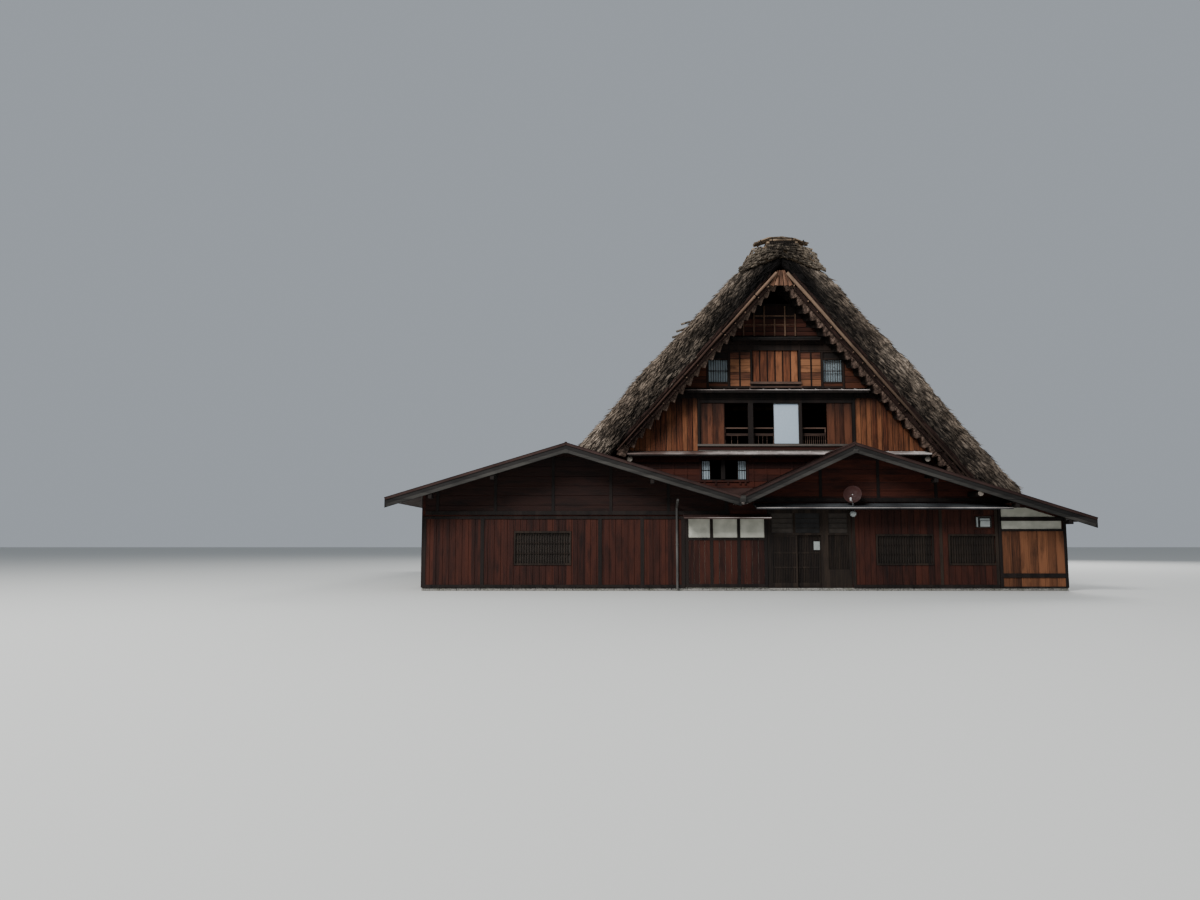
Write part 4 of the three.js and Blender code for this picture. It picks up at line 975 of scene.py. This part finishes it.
# Each pent's name, half width, half width of its battens, top, fall, reach and the depth of its lip
PENTS = (("lower", 5.6, 5.55, 4.97, 0.12, 0.45, 0.042), ("middle", 3.44, 3.4, 7.32, 0.09, 0.35, 0.012),
         ("upper", 1.68, 1.64, 9.3, 0.08, 0.3, 0.02))
for name, half, _, top, drop, reach, lip in PENTS:
    folds = begin(f"{name}_pent_folds")
    slope = atan(drop / reach)
    for away in (-1, 1):
        wall = 0.0 if away < 0 else LENGTH
        edge = wall + away * reach
        front, back = sorted((edge, edge + away * 0.014))
        bars([(-half, half, front, back, top - drop - lip, top - drop + 0.012)])
        count = round(2 * half / 0.48)
        for i in range(count + 1):
            x = -half + 0.01 + i * (2 * half - 0.02) / count
            bpy.ops.mesh.primitive_cube_add(
                size=1, location=at(x, wall + away * reach / 2, top - drop / 2 + 0.006),
                scale=(0.018, reach - 0.02, 0.022), rotation=(-away * slope, 0, 0))
    close(folds, pent_sheet_in_shade if name == "upper" else pent_sheet, 0.003)
under = begin("pent_battens")
for _, _, half, top, drop, reach, _ in PENTS:
    bars([(-half, half, -reach + 0.01, -reach + 0.06, top - drop - 0.1, top - drop - 0.044)])
    count = int(2 * half / 0.9)
    for i in range(count + 1):
        x = -half + 0.05 + i * (2 * half - 0.1) / count
        bars([(x - 0.025, x + 0.025, -reach + 0.03, -0.026, top - drop - 0.11, top - drop - 0.05)])
close(under, smoked, 0.003)


# The low roofs: red-brown painted sheet laid in level courses, each lapped over the one below, with
# a rolled cap along each ridge and weathered boards hung along the verges.
roof_sheet = sheet_metal("red_brown_roof_sheet", ("#2c1d1a", "#3d2c28", "#53413a"), 0.68, 0.68)
coat(roof_sheet, "wing_roof_outer", "wing_roof_inner", "entrance_roof_left", "entrance_roof_right",
     "valley_pent", "entrance_pent", "plaster_pent")
COURSE = 0.225    # what shows of a course
LAP_TILT = 0.075    # how much flatter a course lies than the roof
VERGE_FACE = -4.335    # the front ends of the courses


def courses(name, ridge, eave, fall, front, back):
    """Lapped level courses of sheet from a ridge down to an eave, a little proud of the roof plate."""
    piece = begin(name)
    way = 1 if eave > ridge else -1
    slope = atan(fall)
    count = round(abs(eave - ridge) / cos(slope) / COURSE)
    step = abs(eave - ridge) / count
    for i in range(count):
        x = ridge + way * (i + 0.5) * step
        z = LOW_RIDGE - fall * abs(x - ridge) + 0.015
        bpy.ops.mesh.primitive_cube_add(
            size=1, location=at(x, (front + back) / 2, z),
            scale=(step / cos(slope) + 0.02, back - front, 0.007), rotation=(0, way * (slope - LAP_TILT), 0))
    close(piece, roof_sheet, 0.002)


courses("wing_courses_outer", WING_RIDGE, -13.57, WING_FALL, VERGE_FACE, LENGTH + 0.9)
courses("wing_courses_inner", WING_RIDGE, -2.08, WING_FALL, VERGE_FACE, -0.03)
courses("wing_courses_behind", WING_RIDGE, -6.76, WING_FALL, -0.03, LENGTH + 0.9)
courses("entrance_courses_left", HALL_RIDGE, -1.88, HALL_FALL_LEFT, VERGE_FACE, -0.03)
courses("entrance_courses_right", HALL_RIDGE, 9.44, HALL_FALL_RIGHT, VERGE_FACE, 0.0)

caps = begin("ridge_caps")
for x, stop in ((WING_RIDGE, LENGTH + 0.91), (HALL_RIDGE, -0.03)):
    start = VERGE_FACE - 0.01
    rods([((x, start, LOW_RIDGE + 0.01), (x, stop, LOW_RIDGE + 0.01), 0.05)], 16)
    for side in (-1, 1):
        bpy.ops.mesh.primitive_cube_add(
            size=1, location=at(x + side * 0.1, (start + stop) / 2, LOW_RIDGE - 0.02),
            scale=(0.2, stop - start, 0.012), rotation=(0, side * 0.33, 0))
close(caps, roof_sheet, 0.003)

verge_wood = boarded("blackened_verge_wood", ("#0b0a09", "#1b1918", "#2c2927"), False, 0.6, 1.0)
coat(verge_wood, "wing_verge_board", "entrance_verge_board")


def plank(start, end, depth, front, back, below=0.0):
    """Adds a board on edge from one X and Z to another, its top so far below that line."""
    (x0, z0), (x1, z1) = start, end
    turn = atan2(z0 - z1, x1 - x0)
    length = ((x1 - x0) ** 2 + (z1 - z0) ** 2) ** 0.5
    drop = below + depth / 2
    bpy.ops.mesh.primitive_cube_add(
        size=1, location=at((x0 + x1) / 2 - drop * sin(turn), (front + back) / 2,
                            (z0 + z1) / 2 - drop * cos(turn)),
        scale=(length, back - front, depth), rotation=(0, turn, 0))


WING_TOP, HALL_TOP = (WING_RIDGE, LOW_RIDGE), (HALL_RIDGE, LOW_RIDGE)
VERGES = [((-13.56, 3.006), WING_TOP), (WING_TOP, (-2.05, 3.064)),
          ((-1.91, 3.11), HALL_TOP), (HALL_TOP, (9.43, 2.355))]
fascia = begin("verge_fascias")
for start, end in VERGES:
    plank(start, end, 0.075, VERGE_FACE - 0.03, VERGE_FACE - 0.003, -0.02)
    plank(start, end, 0.012, VERGE_FACE - 0.04, VERGE_FACE + 0.035, -0.035)
close(fascia, roof_sheet, 0.003)
weathered = begin("verge_lower_boards")
for start, end in VERGES:
    plank(start, end, 0.10, VERGE_FACE - 0.025, VERGE_FACE - 0.006, 0.185)
for x in (WING_RIDGE, HALL_RIDGE):    # the blocks that close the boards' meeting under each ridge
    bars([(x - 0.085, x + 0.085, -0.031, -0.0055, 4.472, 4.577),
          (x - 0.035, x + 0.035, -0.0305, -0.0055, 4.5, 4.602)], VERGE_FACE)
bars([(-2.075, -1.885, -0.029, -0.0055, 2.88, 3.1)], VERGE_FACE)    # and the plate over the valley's end
close(weathered, boarded("pale_weathered_edge", ("#151413", "#2f2d2a", "#46433f"), False, 0.6, 1.0),
      0.003)
coat(pent_sheet, "valley_gutter")

FACE = -3.4    # the outside of the entrance front
entrance_sheet = sheet_metal("grey_corrugated_sheet", ("#2c2e30", "#4b4e50", "#3a2f2a"), 0.55, 0.66)
coat(entrance_sheet, "entrance_pent")
for name, left, right, top, drop, reach, pitch in (("entrance", -1.5, 6.85, 2.88, 0.16, 0.7, 0.09),
                                                   ("plaster", -3.85, -1.0, 2.52, 0.12, 0.55, 0.3)):
    ribs = begin(f"{name}_pent_ribs")
    slope = atan(drop / reach)
    count = round((right - left) / pitch)
    for i in range(count + 1):
        x = left + 0.014 + i * (right - left - 0.028) / count
        bpy.ops.mesh.primitive_cube_add(
            size=1, location=at(x, FACE - reach / 2, top - drop / 2 + 0.006),
            scale=(0.028, reach + 0.01, 0.014), rotation=(slope, 0, 0))
    close(ribs, entrance_sheet if name == "entrance" else roof_sheet, 0.003)
built("entrance_pent_edges", [(-1.5, 6.85, -4.112, -4.1, 2.702, 2.72),
                              (-3.85, -1.0, -3.962, -3.95, 2.382, 2.4)], pent_sheet, 0.002)

tips = begin("purlin_tips")
for x, top in ((-10.1, 4.06), (-4.9, 3.933), (4.3, 3.971), (6.9, 3.152), (-12.1, 3.45), (8.6, 2.616)):
    bars([(x - 0.06, x + 0.06, -4.33, -4.0, top - 0.44, top - 0.31)])
rods([((5.72, -4.3, 3.17), (5.72, -3.42, 3.17), 0.09)], 20)
close(tips, smoked, 0.005)
rodded("eave_log_end", [((5.72, -4.312, 3.17), (5.72, -4.3, 3.17), 0.088)], 24, end_grain,
       0.003)


# The gables over the ground floor, under the low roofs: broad red-brown level boards nailed on dark
# posts at each bay, over a dark beam, and in deep shade under the wing's verge.
coat(red_level, "left_gable_boards", "right_gable_boards", "left_front_wall", "front_right_wall",
     "left_side_wall", "right_side_wall", "back_ground_wall", "right_end_bay")
BAY = 1.92    # one bay of the frame, the length of a floor mat
POST_FOOT = 0.11    # where posts stand on the sill
GABLE_TOP = LOW_RIDGE - 0.1
shaded_boards = boarded("shaded_gable_boards", ("#080302", "#1b0c08", "#2c140d"), False, 0.34, 1.3)
for name, left, right, low, ridge, falls, first in (
        ("wing", -12.4, -2.3, 2.5, WING_RIDGE, (WING_FALL, WING_FALL), -12.0),
        ("hall", -1.75, 7.5, 2.93, HALL_RIDGE, (HALL_FALL_LEFT, HALL_FALL_RIGHT), -1.17)):
    for kind in ("boards", "posts"):
        work = begin(f"{name}_gable_{kind}")
        if kind == "boards":
            level_boards(left, right, low, 4.75, 0.34, FACE)
        else:
            x = first
            while x < right:
                bars([(x - 0.05, x + 0.05, -0.045, 0, low, 4.8)], FACE)
                x += BAY
            bars([(left, right, -0.05, 0, low, low + 0.13)], FACE)
        trim(at(ridge, 0, GABLE_TOP), (-falls[0], 0, 1))
        trim(at(ridge, 0, GABLE_TOP), (falls[1], 0, 1))
        if kind == "posts":
            close(work, smoked, 0.004)
        else:
            close(work, shaded_boards if name == "wing" else red_level, 0.004)


# The plastered bay left of the entrance: white lime plaster trowelled between dark posts, over a
# wainscot of dark upright boards.
# Lime plaster, matt and chalky: IOR 1.5, roughness 0.9, with trowel clouds of 33 cm and a slight relief
plaster, plaster_tree, plaster_shader = surface("lime_plaster", 0.9)
plaster_spot = node(plaster_tree, "ShaderNodeTexCoord", {}).outputs["Object"]
trowel = node(plaster_tree, "ShaderNodeTexNoise",
              {"Vector": plaster_spot, "Scale": 3.0, "Detail": 5.0}).outputs[0]
plaster_tree.links.new(layered(plaster_tree, paint("#a3a294"), ((trowel, 0.3, 0.75), paint("#c9c7b9"))),
                       plaster_shader.inputs["Base Color"])
trowelled = node(plaster_tree, "ShaderNodeBump", {"Strength": 0.2, "Distance": 0.004, "Height": trowel})
plaster_tree.links.new(trowelled.outputs[0], plaster_shader.inputs["Normal"])
coat(plaster, "plaster_bay")
built("plaster_bay_timbers",
      [(x - 0.05, x + 0.05, -0.03, 0, POST_FOOT, 2.44) for x in (-3.72, -2.9, -2.0, -1.1)]
      + [(-3.76, -1.06, -0.035, 0, 1.66, 1.75), (-3.76, -1.06, -0.03, 0, 2.39, 2.45),
         (-3.76, -1.06, -0.035, 0, POST_FOOT, 0.22)], smoked, 0.004, FACE)
boarding("plaster_bay_boards", upright_boards,
         [(left, right, 0.22, 1.66, 0.18, FACE)
          for left, right in ((-3.67, -2.95), (-2.85, -2.05), (-1.95, -1.15))],
         red_upright, 0.003)


# The entrance: a heavy dark frame, two sliding doors of close upright bars over dark boards, and
# lights over them, of grey paper on the left and right and of glass in the middle.
lattice_wood = boarded("dark_lattice_wood", ("#0c0806", "#221913", "#33281f"), True, 0.2, 1.6)
coat(lattice_wood, "entrance_frame")
LEAF, STILE, SLATS = 0.87, 0.055, 13
for name, body, left, front in (("entrance_door_left", "left_door", -0.925, -3.388),
                                ("entrance_door_right", "right_door", -0.145, -3.335)):
    right, back, low, high = left + LEAF, front + 0.035, 0.1203, 1.825    # just off the rails
    leaf = begin(f"{name}_lattice")
    bars([(left, left + STILE, front, back, low, high), (right - STILE, right, front, back, low, high)])
    bars([(left + 0.05, right - 0.05, front + 0.002, back - 0.002, z, z + depth)
          for z, depth in ((low, 0.14), (0.74, 0.05), (1.22, 0.045), (1.775, 0.05))])
    for i in range(SLATS):
        x = left + STILE + (i + 1) * (LEAF - 2 * STILE) / (SLATS + 1)
        bars([(x - 0.011, x + 0.011, front + 0.004, front + 0.02, 0.25, 1.79)])
    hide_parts(name)
    close(leaf, lattice_wood, 0.002, body)
    built(f"{name}_boards", [(left + 0.05, right - 0.05, back - 0.012, back - 0.006, 0.24, 1.79)], smoked,
          0.001, body=body)

# Plain paper plate, greyed by painted shade under the porch: IOR 1.45, roughness 0.8, fibre clouds drawn 11 cm
# wide
plate_paper = mottled("blank_plate_paper", ("#7f8480", "#a3a8a3"), 0.8, 9.0, 3.0, 1.45)
# Window paper browned by age, with a dark room behind it: IOR 1.45, roughness 0.85, stains of 20 cm
aged_paper = mottled("aged_paper", ("#1f1a16", "#3f3730"), 0.85, 5.0, 3.0, 1.45)
# Glass before an unlit room, almost black: IOR 1.5, roughness 0.3, little shine, waves drawn 33 cm wide
dark_glass = mottled("dark_room_glass", ("#0f0d0c", "#2f2d2c"), 0.3, 3.0, specular=0.15)
built("blank_paper_plate", [(0.5, 0.7, -3.342, -3.3345, 1.34, 1.62)], plate_paper, 0.001,
      body="right_door")

LIGHT_FOOT, LIGHT_HEAD = 1.9, 2.55
lights = begin("entrance_light_bars")
for left, right in ((-0.93, -0.16), (-0.14, 0.73), (0.97, 1.65)):
    bars([(left, left + 0.03, 0.01, 0.05, LIGHT_FOOT, LIGHT_HEAD),
          (right - 0.03, right, 0.01, 0.05, LIGHT_FOOT, LIGHT_HEAD)], FACE)
    bars([(left, right, 0.015, 0.03, z - 0.006, z + 0.006) for z in (2.06, 2.22, 2.38)], FACE)
for i in range(12):
    x = 0.97 + (i + 0.5) * 0.68 / 12
    bars([(x - 0.01, x + 0.01, 0.015, 0.035, 0.7, 1.83)], FACE)
bars([(0.97, 1.65, 0.036, 0.044, 0.7, 1.83)], FACE)
close(lights, lattice_wood, 0.002)
built("entrance_light_papers", [(left, right, 0.032, 0.036, LIGHT_FOOT, LIGHT_HEAD)
                                for left, right in ((-0.92, -0.17), (0.98, 1.64))],
      aged_paper, 0.001, FACE)
built("entrance_light_glass", [(-0.13, 0.72, 0.032, 0.036, LIGHT_FOOT, LIGHT_HEAD)], dark_glass,
      0.001, FACE)


# The front wall on the right of the entrance: red-brown upright boards, two long barred windows and
# one small white-framed window high up.
def barred_window(left, right, low, high, face, away, along_x=True):
    """Adds the bars of a lattice window: a frame, close upright bars and two level ones."""
    def put(a, b, near, far, bottom, top):
        front, back = sorted((face + away * near, face + away * far))
        if along_x:
            bars([(a, b, front, back, bottom, top)])
        else:
            bars([(front, back, a, b, bottom, top)])
    put(left - 0.05, right + 0.05, -0.03, 0.045, low - 0.06, low)
    put(left - 0.05, right + 0.05, -0.03, 0.045, high, high + 0.06)
    put(left - 0.05, left, -0.03, 0.04, low, high)
    put(right, right + 0.05, -0.03, 0.04, low, high)
    count = round((right - left) / 0.085)
    for i in range(1, count):
        x = left + i * (right - left) / count
        put(x - 0.013, x + 0.013, -0.02, 0.012, low, high)
    for share in (0.33, 0.67):
        z = low + share * (high - low)
        put(left, right, -0.028, -0.006, z - 0.014, z + 0.014)


def window_pane(left, right, low, high, face, away, along_x=True):
    """Adds the one sheet behind the bars of a window."""
    front, back = sorted((face - away * 0.05, face - away * 0.056))
    bars([(left, right, front, back, low, high) if along_x else (front, back, left, right, low, high)])


FRONT_WINDOWS = [(-9.4, -7.6, 0.9, 1.9), (2.6, 4.4, 0.9, 1.8), (5.0, 6.5, 0.9, 1.8)]
grilles = begin("front_window_grilles")
for left, right, low, high in FRONT_WINDOWS:
    barred_window(left, right, low, high, FACE, -1)
close(grilles, lattice_wood, 0.003)
grille_papers = begin("front_window_papers")
for left, right, low, high in FRONT_WINDOWS:
    window_pane(left, right, low, high, FACE, -1)
close(grille_papers, aged_paper, 0.001)

FRONT_SPANS = [(-12.45, -9.46, 0.15, 2.4), (-7.54, -3.8, 0.15, 2.4), (-9.46, -7.54, 0.15, 0.84),
               (-9.46, -7.54, 1.96, 2.4), (1.8, 2.54, 0.15, 2.72), (4.46, 4.94, 0.15, 2.72),
               (2.54, 4.46, 0.15, 0.84), (4.94, 6.56, 0.15, 0.84), (2.54, 4.46, 1.86, 2.72),
               (4.94, 5.82, 1.86, 2.72), (5.82, 6.45, 1.86, 2.02), (5.82, 6.45, 2.5, 2.72)]
boarding("front_wall_boards", upright_boards, [(*span, 0.21, FACE) for span in FRONT_SPANS], red_upright,
         0.003)
built("entrance_side_posts", [(left, left + 0.1, -out, 0, POST_FOOT, 2.75)
                              for left, out in ((1.76, 0.04), (4.65, 0.04), (6.5, 0.042))],
      lattice_wood, 0.004, FACE)
built("front_wall_posts",
      [(x - 0.06, x + 0.06, -0.04, 0, POST_FOOT, 2.44) for x in (-12.43, -10.5, -6.6, -5.2, -3.84)]
      + [(-12.48, -3.8, -0.045, 0, 2.36, 2.45), (1.76, 6.6, -0.045, 0, 2.68, 2.77),
         (-12.48, -3.8, -0.045, 0, 0.105, 0.2), (1.76, 6.6, -0.045, 0, 0.105, 0.2)],
      smoked, 0.004, FACE)

# Milky glass and plastic, pale and half shiny: IOR 1.5, roughness 0.35, clouds of 25 cm
milky = mottled("milky_window", ("#9ba09e", "#bfc3c0"), 0.35, 4.0)
built("small_window_frame", [(5.87, 5.9, -0.03, 0.03, 2.07, 2.45), (6.37, 6.4, -0.03, 0.03, 2.07, 2.45),
                             (5.87, 6.4, -0.03, 0.03, 2.07, 2.10), (5.87, 6.4, -0.03, 0.03, 2.42, 2.45)],
      grey_wood, 0.003, FACE)
built("small_window_pane", [(5.89, 6.38, 0.01, 0.02, 2.09, 2.43)], dark_glass, 0.001, FACE)
built("small_window_flap", [(6.02, 6.34, -0.05, -0.038, 2.11, 2.27), (6.02, 6.34, -0.075, -0.038, 2.27, 2.3),
                            (6.02, 6.34, -0.03, -0.02, 2.31, 2.38), (5.9, 5.96, -0.01, 0.005, 2.1, 2.42)],
      milky, 0.003, FACE)


# The right end of the front: two strips of lime plaster over orange-brown upright boards, on a dark
# sill with a row of short boards below it, all between two posts.
bay_plaster = begin("end_bay_plaster")
bars([(6.72, 8.62, -0.012, 0, 2.43, 2.74), (6.72, 8.72, -0.012, 0, 2.03, 2.30)], FACE)
trim(at(HALL_RIDGE, 0, LOW_RIDGE - 0.2), (HALL_FALL_RIGHT, 0, 1))
close(bay_plaster, plaster, 0.003)
boarding("end_bay_boards", upright_boards,
         [(6.68, 8.8, 0.57, 1.98, 0.3, FACE), (6.68, 8.8, 0.12, 0.43, 0.24, FACE)],
         boarded("end_bay_cedar_boards", ("#180c07", "#54311f", "#8a593b"), True, 0.3, 1.3),
         0.003)
built("end_bay_timbers", [(6.62, 6.72, -0.04, 0, POST_FOOT, 2.84), (8.77, 8.87, -0.04, 0, POST_FOOT, 2.5),
                          (6.68, 8.8, -0.045, 0, 1.96, 2.03), (6.68, 8.8, -0.04, 0, 2.30, 2.43),
                          (6.68, 8.8, -0.05, 0, 0.43, 0.57), (6.68, 8.8, -0.04, 0, 0.105, 0.14)],
      smoked, 0.004, FACE)


# The long side walls and the back: red-brown upright boards between dark posts at each bay, plaster
# strips under the eaves, and long barred windows.
WINDOW = (1.1, 2.1)    # foot and head of the windows of these walls
PLACE, HALF = 0.86, 0.8    # half of what a window takes of a wall, and half of its opening


def between(start, stop, places):
    """The spans of a wall that windows at these places leave."""
    edges = [start] + [edge for place in places for edge in (place - PLACE, place + PLACE)] + [stop]
    return list(zip(edges[::2], edges[1::2]))


def side_wall(name, face, away, start, stop, top, places):
    """Dresses a wall that runs along Y."""
    posts = begin(f"{name}_posts")
    count = round((stop - start) / BAY)
    for i in range(count + 1):
        y = start + 0.07 + i * (stop - start - 0.14) / count
        if all(abs(y - place) > 0.9 for place in places):
            front, back = sorted((face, face + away * 0.045))
            bars([(front, back, y - 0.065, y + 0.065, 0.105, top)])
    front, back = sorted((face, face + away * 0.04))
    bars([(front, back, start, stop, z, z + 0.1) for z in (0.105, 2.2, top - 0.12)])
    close(posts, smoked, 0.004)
    planks = begin(f"{name}_boards")
    spans = [(a, b, 0.2, 2.2) for a, b in between(start, stop, places)]
    spans += [(place - PLACE, place + PLACE, 0.2, 1.04) for place in places]
    for a, b, low, high in spans:
        number = round((b - a) / 0.24)
        step = (b - a) / number
        for i in range(number):
            front, back = board_faces(face, away, 0.006)
            bars([(front, back, a + i * step + 0.005, a + (i + 1) * step - 0.005, low, high)])
    close(planks, red_upright, 0.003)
    strip = begin(f"{name}_plaster")
    front, back = sorted((face, face + away * 0.012))
    bars([(front, back, start + 0.02, stop - 0.02, 2.3, top - 0.12)])
    close(strip, plaster, 0.002)
    grille = begin(f"{name}_grilles")
    for place in places:
        barred_window(place - HALF, place + HALF, *WINDOW, face, away, False)
    close(grille, lattice_wood, 0.003)
    glazing = begin(f"{name}_panes")
    for place in places:
        window_pane(place - HALF, place + HALF, *WINDOW, face, away, False)
    close(glazing, aged_paper, 0.001)


side_wall("left_side", -12.5, -1, -3.28, LENGTH, 3.2, (0.4, 7.9, 15.4))
side_wall("right_side", 7.72, 1, 0.02, LENGTH, 3.1, (3.2, 9.6, 16.0))
BACK_PLACES = (-3.9, 0, 3.9)
built("back_wall_posts", [(x - 0.065, x + 0.065, 0, 0.045, 0.105, 3.2)
                          for x in (-12.43, -10.3, -8.3, -6.5, -5.2, -2.6, -1.2, 1.2, 2.6, 5.2, 6.5, 7.6)]
      + [(-12.5, 7.7, 0, 0.04, z, z + 0.1) for z in (0.105, 2.2, 3.1)], smoked, 0.004, LENGTH)
spans = [(a, b, 0.2, 3.1) for a, b in between(-12.4, 7.6, BACK_PLACES)]
spans += [(x - PLACE, x + PLACE, low, high) for low, high in ((0.2, 1.04), (2.16, 3.1)) for x in BACK_PLACES]
boarding("back_wall_boards", upright_boards, [(*span, 0.24, LENGTH, 1) for span in spans], red_upright,
         0.003)
back_grilles = begin("back_window_grilles")
for x in BACK_PLACES:
    barred_window(x - HALF, x + HALF, *WINDOW, LENGTH, 1)
close(back_grilles, lattice_wood, 0.003)
back_papers = begin("back_window_papers")
for x in BACK_PLACES:
    window_pane(x - HALF, x + HALF, *WINDOW, LENGTH, 1)
close(back_papers, aged_paper, 0.001)

boarding("back_gable_level_boards", level_boards,
         [(-half, half, low, high, width, LENGTH, 1) for half, low, high, width in (
             (6.3, 3.35, 4.8, 0.25), (4.0, 7.34, 9.24, 0.26), (2.2, 9.34, 10.55, 0.2))],
         red_level, 0.003, True)
boarding("back_gable_cedar_boards", upright_boards, [(-6.1, 6.1, 4.99, 7.26, 0.197, LENGTH, 1)], cedar,
         0.003, True)
back_battens = begin("back_gable_battens")
for half, low, high, step in ((5.9, 3.3, 4.84, 0.96), (3.8, 7.34, 9.26, 0.85), (1.9, 9.34, 10.5, 0.39)):
    count = int(half / step)
    bars([(i * step - 0.03, i * step + 0.03, 0.024, 0.05, low, high) for i in range(-count, count + 1)],
         LENGTH)
bars([(x - 0.06, x + 0.06, 0.02, 0.05, 4.99, 7.26) for x in (-2.95, 0, 2.95)], LENGTH)
bars([(-6, 6, 0.02, 0.05, 6.95, 7.05), (-4, 4, 0.02, 0.05, 8.72, 8.8)], LENGTH)
trim_to_slopes()
close(back_battens, smoked, 0.004)


# The sill stones: a row of dressed field stones under the outer walls, set dry on the ground, grey
# and a little mossy, no two of one length.
# Grey stone, matt: IOR 1.5, roughness 0.9, grains of 3 mm drawn 4 cm wide, moss in patches of 60 cm
stone, stone_tree, stone_shader = surface("grey_field_stone", 0.9)
stone_spot = node(stone_tree, "ShaderNodeTexCoord", {}).outputs["Object"]
speckle = node(stone_tree, "ShaderNodeTexNoise",
               {"Vector": stone_spot, "Scale": 26.0, "Detail": 4.0}).outputs[0]
moss = node(stone_tree, "ShaderNodeTexNoise", {"Vector": stone_spot, "Scale": 1.7, "Detail": 3.0}).outputs[0]
mossy = layered(stone_tree, paint("#5d5b57"), ((speckle, 0.35, 0.65), paint("#97938c")),
                ((moss, 0.5, 0.7, 0, 0.5), paint("#5a5a48")))
stone_tree.links.new(mossy, stone_shader.inputs["Base Color"])
grained = node(stone_tree, "ShaderNodeBump", {"Strength": 0.5, "Distance": 0.01, "Height": speckle})
stone_tree.links.new(grained.outputs[0], stone_shader.inputs["Normal"])
coat(stone, "entrance_floor")
stones = begin("sill_stones")
RUNS = [((-12.5, -3.4), (8.87, -3.4)), ((8.67, -3.2), (8.67, 0.0)), ((7.72, -0.2), (8.67, -0.2)),
        ((7.52, 0.0), (7.52, LENGTH - 0.2)), ((-12.5, LENGTH - 0.2), (7.72, LENGTH - 0.2)),
        ((-12.5, -3.2), (-12.5, LENGTH - 0.2))]
for (x0, y0), (x1, y1) in RUNS:
    length = max(x1 - x0, y1 - y0)
    count = round(length / 0.62)
    joints = sorted((k + chance.uniform(-0.2, 0.2)) * length / count for k in range(1, count))
    cuts = [0.0, *joints, length]
    for a, b in zip(cuts, cuts[1:]):
        high = chance.uniform(0.092, 0.1)
        if x1 - x0 > y1 - y0:
            bars([(x0 + a + 0.004, x0 + b - 0.004, y0, y0 + 0.2, 0.0, high)])
        else:
            bars([(x0, x0 + 0.2, y0 + a + 0.004, y0 + b - 0.004, 0.0, high)])
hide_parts("plinth")
close(stones, stone, 0.012)


# The satellite dish on the entrance pent: a pressed bowl painted matt red-brown on a short mast,
# with a pale arm that holds the receiver in front of it.
# Matt paint and pale plastic, both dull: IOR 1.5, roughness 0.6 and 0.5, with the soft stains of sheet
dish_paint = sheet_metal("matt_red_brown_paint", ("#200e0b", "#361a16", "#33211c"), 0.6, 0.7)
pale_plastic = sheet_metal("pale_grey_plastic", ("#a3a4a2", "#c8c9c7", "#8f8d88"), 0.5, 0.75)
CURVE, DEPTH = 0.8, 0.056    # the radius that the bowl is pressed to, and how deep it is
bpy.ops.object.select_all(action="DESELECT")
bpy.ops.mesh.primitive_uv_sphere_add(segments=48, ring_count=48, radius=CURVE, location=(0, 0, CURVE))
bpy.ops.object.transform_apply(location=True, rotation=True, scale=True)
bowl = bpy.context.object
bowl.name = bowl.data.name = "dish_bowl"
bpy.ops.object.mode_set(mode="EDIT")
bpy.ops.mesh.select_all(action="SELECT")
bpy.ops.mesh.bisect(plane_co=(0, 0, DEPTH), plane_no=(0, 0, 1), clear_outer=True)
bpy.ops.object.mode_set(mode="OBJECT")
thicken = bowl.modifiers.new("sheet", "SOLIDIFY")
thicken.thickness = 0.012
thicken.offset = 1
rim = bowl.modifiers.new("rim", "BEVEL")
rim.width = 0.004
rim.segments = 2
apply_all(bowl)
bowl.location = at(1.72, -3.78, 3.15)
bowl.rotation_euler = (radians(75), 0, radians(-22))
bpy.ops.object.transform_apply(location=True, rotation=True, scale=True)
bpy.ops.object.shade_smooth_by_angle(angle=radians(35))
ride(bowl, dish_paint)
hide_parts("satellite_dish")
arm = begin("dish_arm")
rods([((1.72, -3.76, 2.80), (1.72, -3.76, 3.17), 0.022)], 16)
rods([((1.70, -3.82, 2.9), (1.55, -4.14, 2.98), 0.013), ((1.55, -4.14, 2.94), (1.57, -4.07, 3.03), 0.03)], 12)
close(arm, pale_plastic)


# Three stubs of tightly bound straw that stick out of a mend in the left slope, near its verge. What
# the real ones are doesn't show: they could be pegs as well.
rodded("thatch_mend_pegs", [((x + 0.3, -1.05, z + 0.1), (x - 0.03, -1.05, z - 0.005), 0.042)
                            for x, z in ((-3.6, 9.54), (-3.78, 9.27), (-3.93, 9.05))],
       6, grey_straw, 0.004)


# The globe lamp under the pent, of milky glass on a dark stem, and the rainwater pipe of painted
# sheet with its three clips, at the corner of the plastered bay.
bpy.ops.object.select_all(action="DESELECT")
LAMP = (1.76, -3.62)
bpy.ops.mesh.primitive_uv_sphere_add(segments=32, ring_count=20, radius=0.105, location=at(*LAMP, 2.53))
bpy.ops.object.transform_apply(location=True, rotation=True, scale=True)
globe = bpy.context.object
globe.name = globe.data.name = "globe_lamp"
bpy.ops.object.shade_smooth()
ride(globe, milky)
rodded("globe_lamp_stem", [((*LAMP, 2.6), (*LAMP, 2.79), 0.035), ((*LAMP, 2.6), (*LAMP, 2.64), 0.06)], 16,
       smoked, 0.003)
PIPE = (-4.05, -3.47)
rodded("rainwater_pipe", [((*PIPE, 0.05), (*PIPE, 2.75), 0.04), ((*PIPE, 2.75), (-4.05, -3.9, 2.98), 0.04)]
       + [((*PIPE, z), (*PIPE, z + 0.04), 0.048) for z in (0.5, 1.5, 2.5)], 16,
       sheet_metal("grey_pipe_paint", ("#3f3d3b", "#5b5956", "#43352c"), 0.5, 0.7))

for stalk in (tuft, lock):
    bpy.data.objects.remove(stalk)
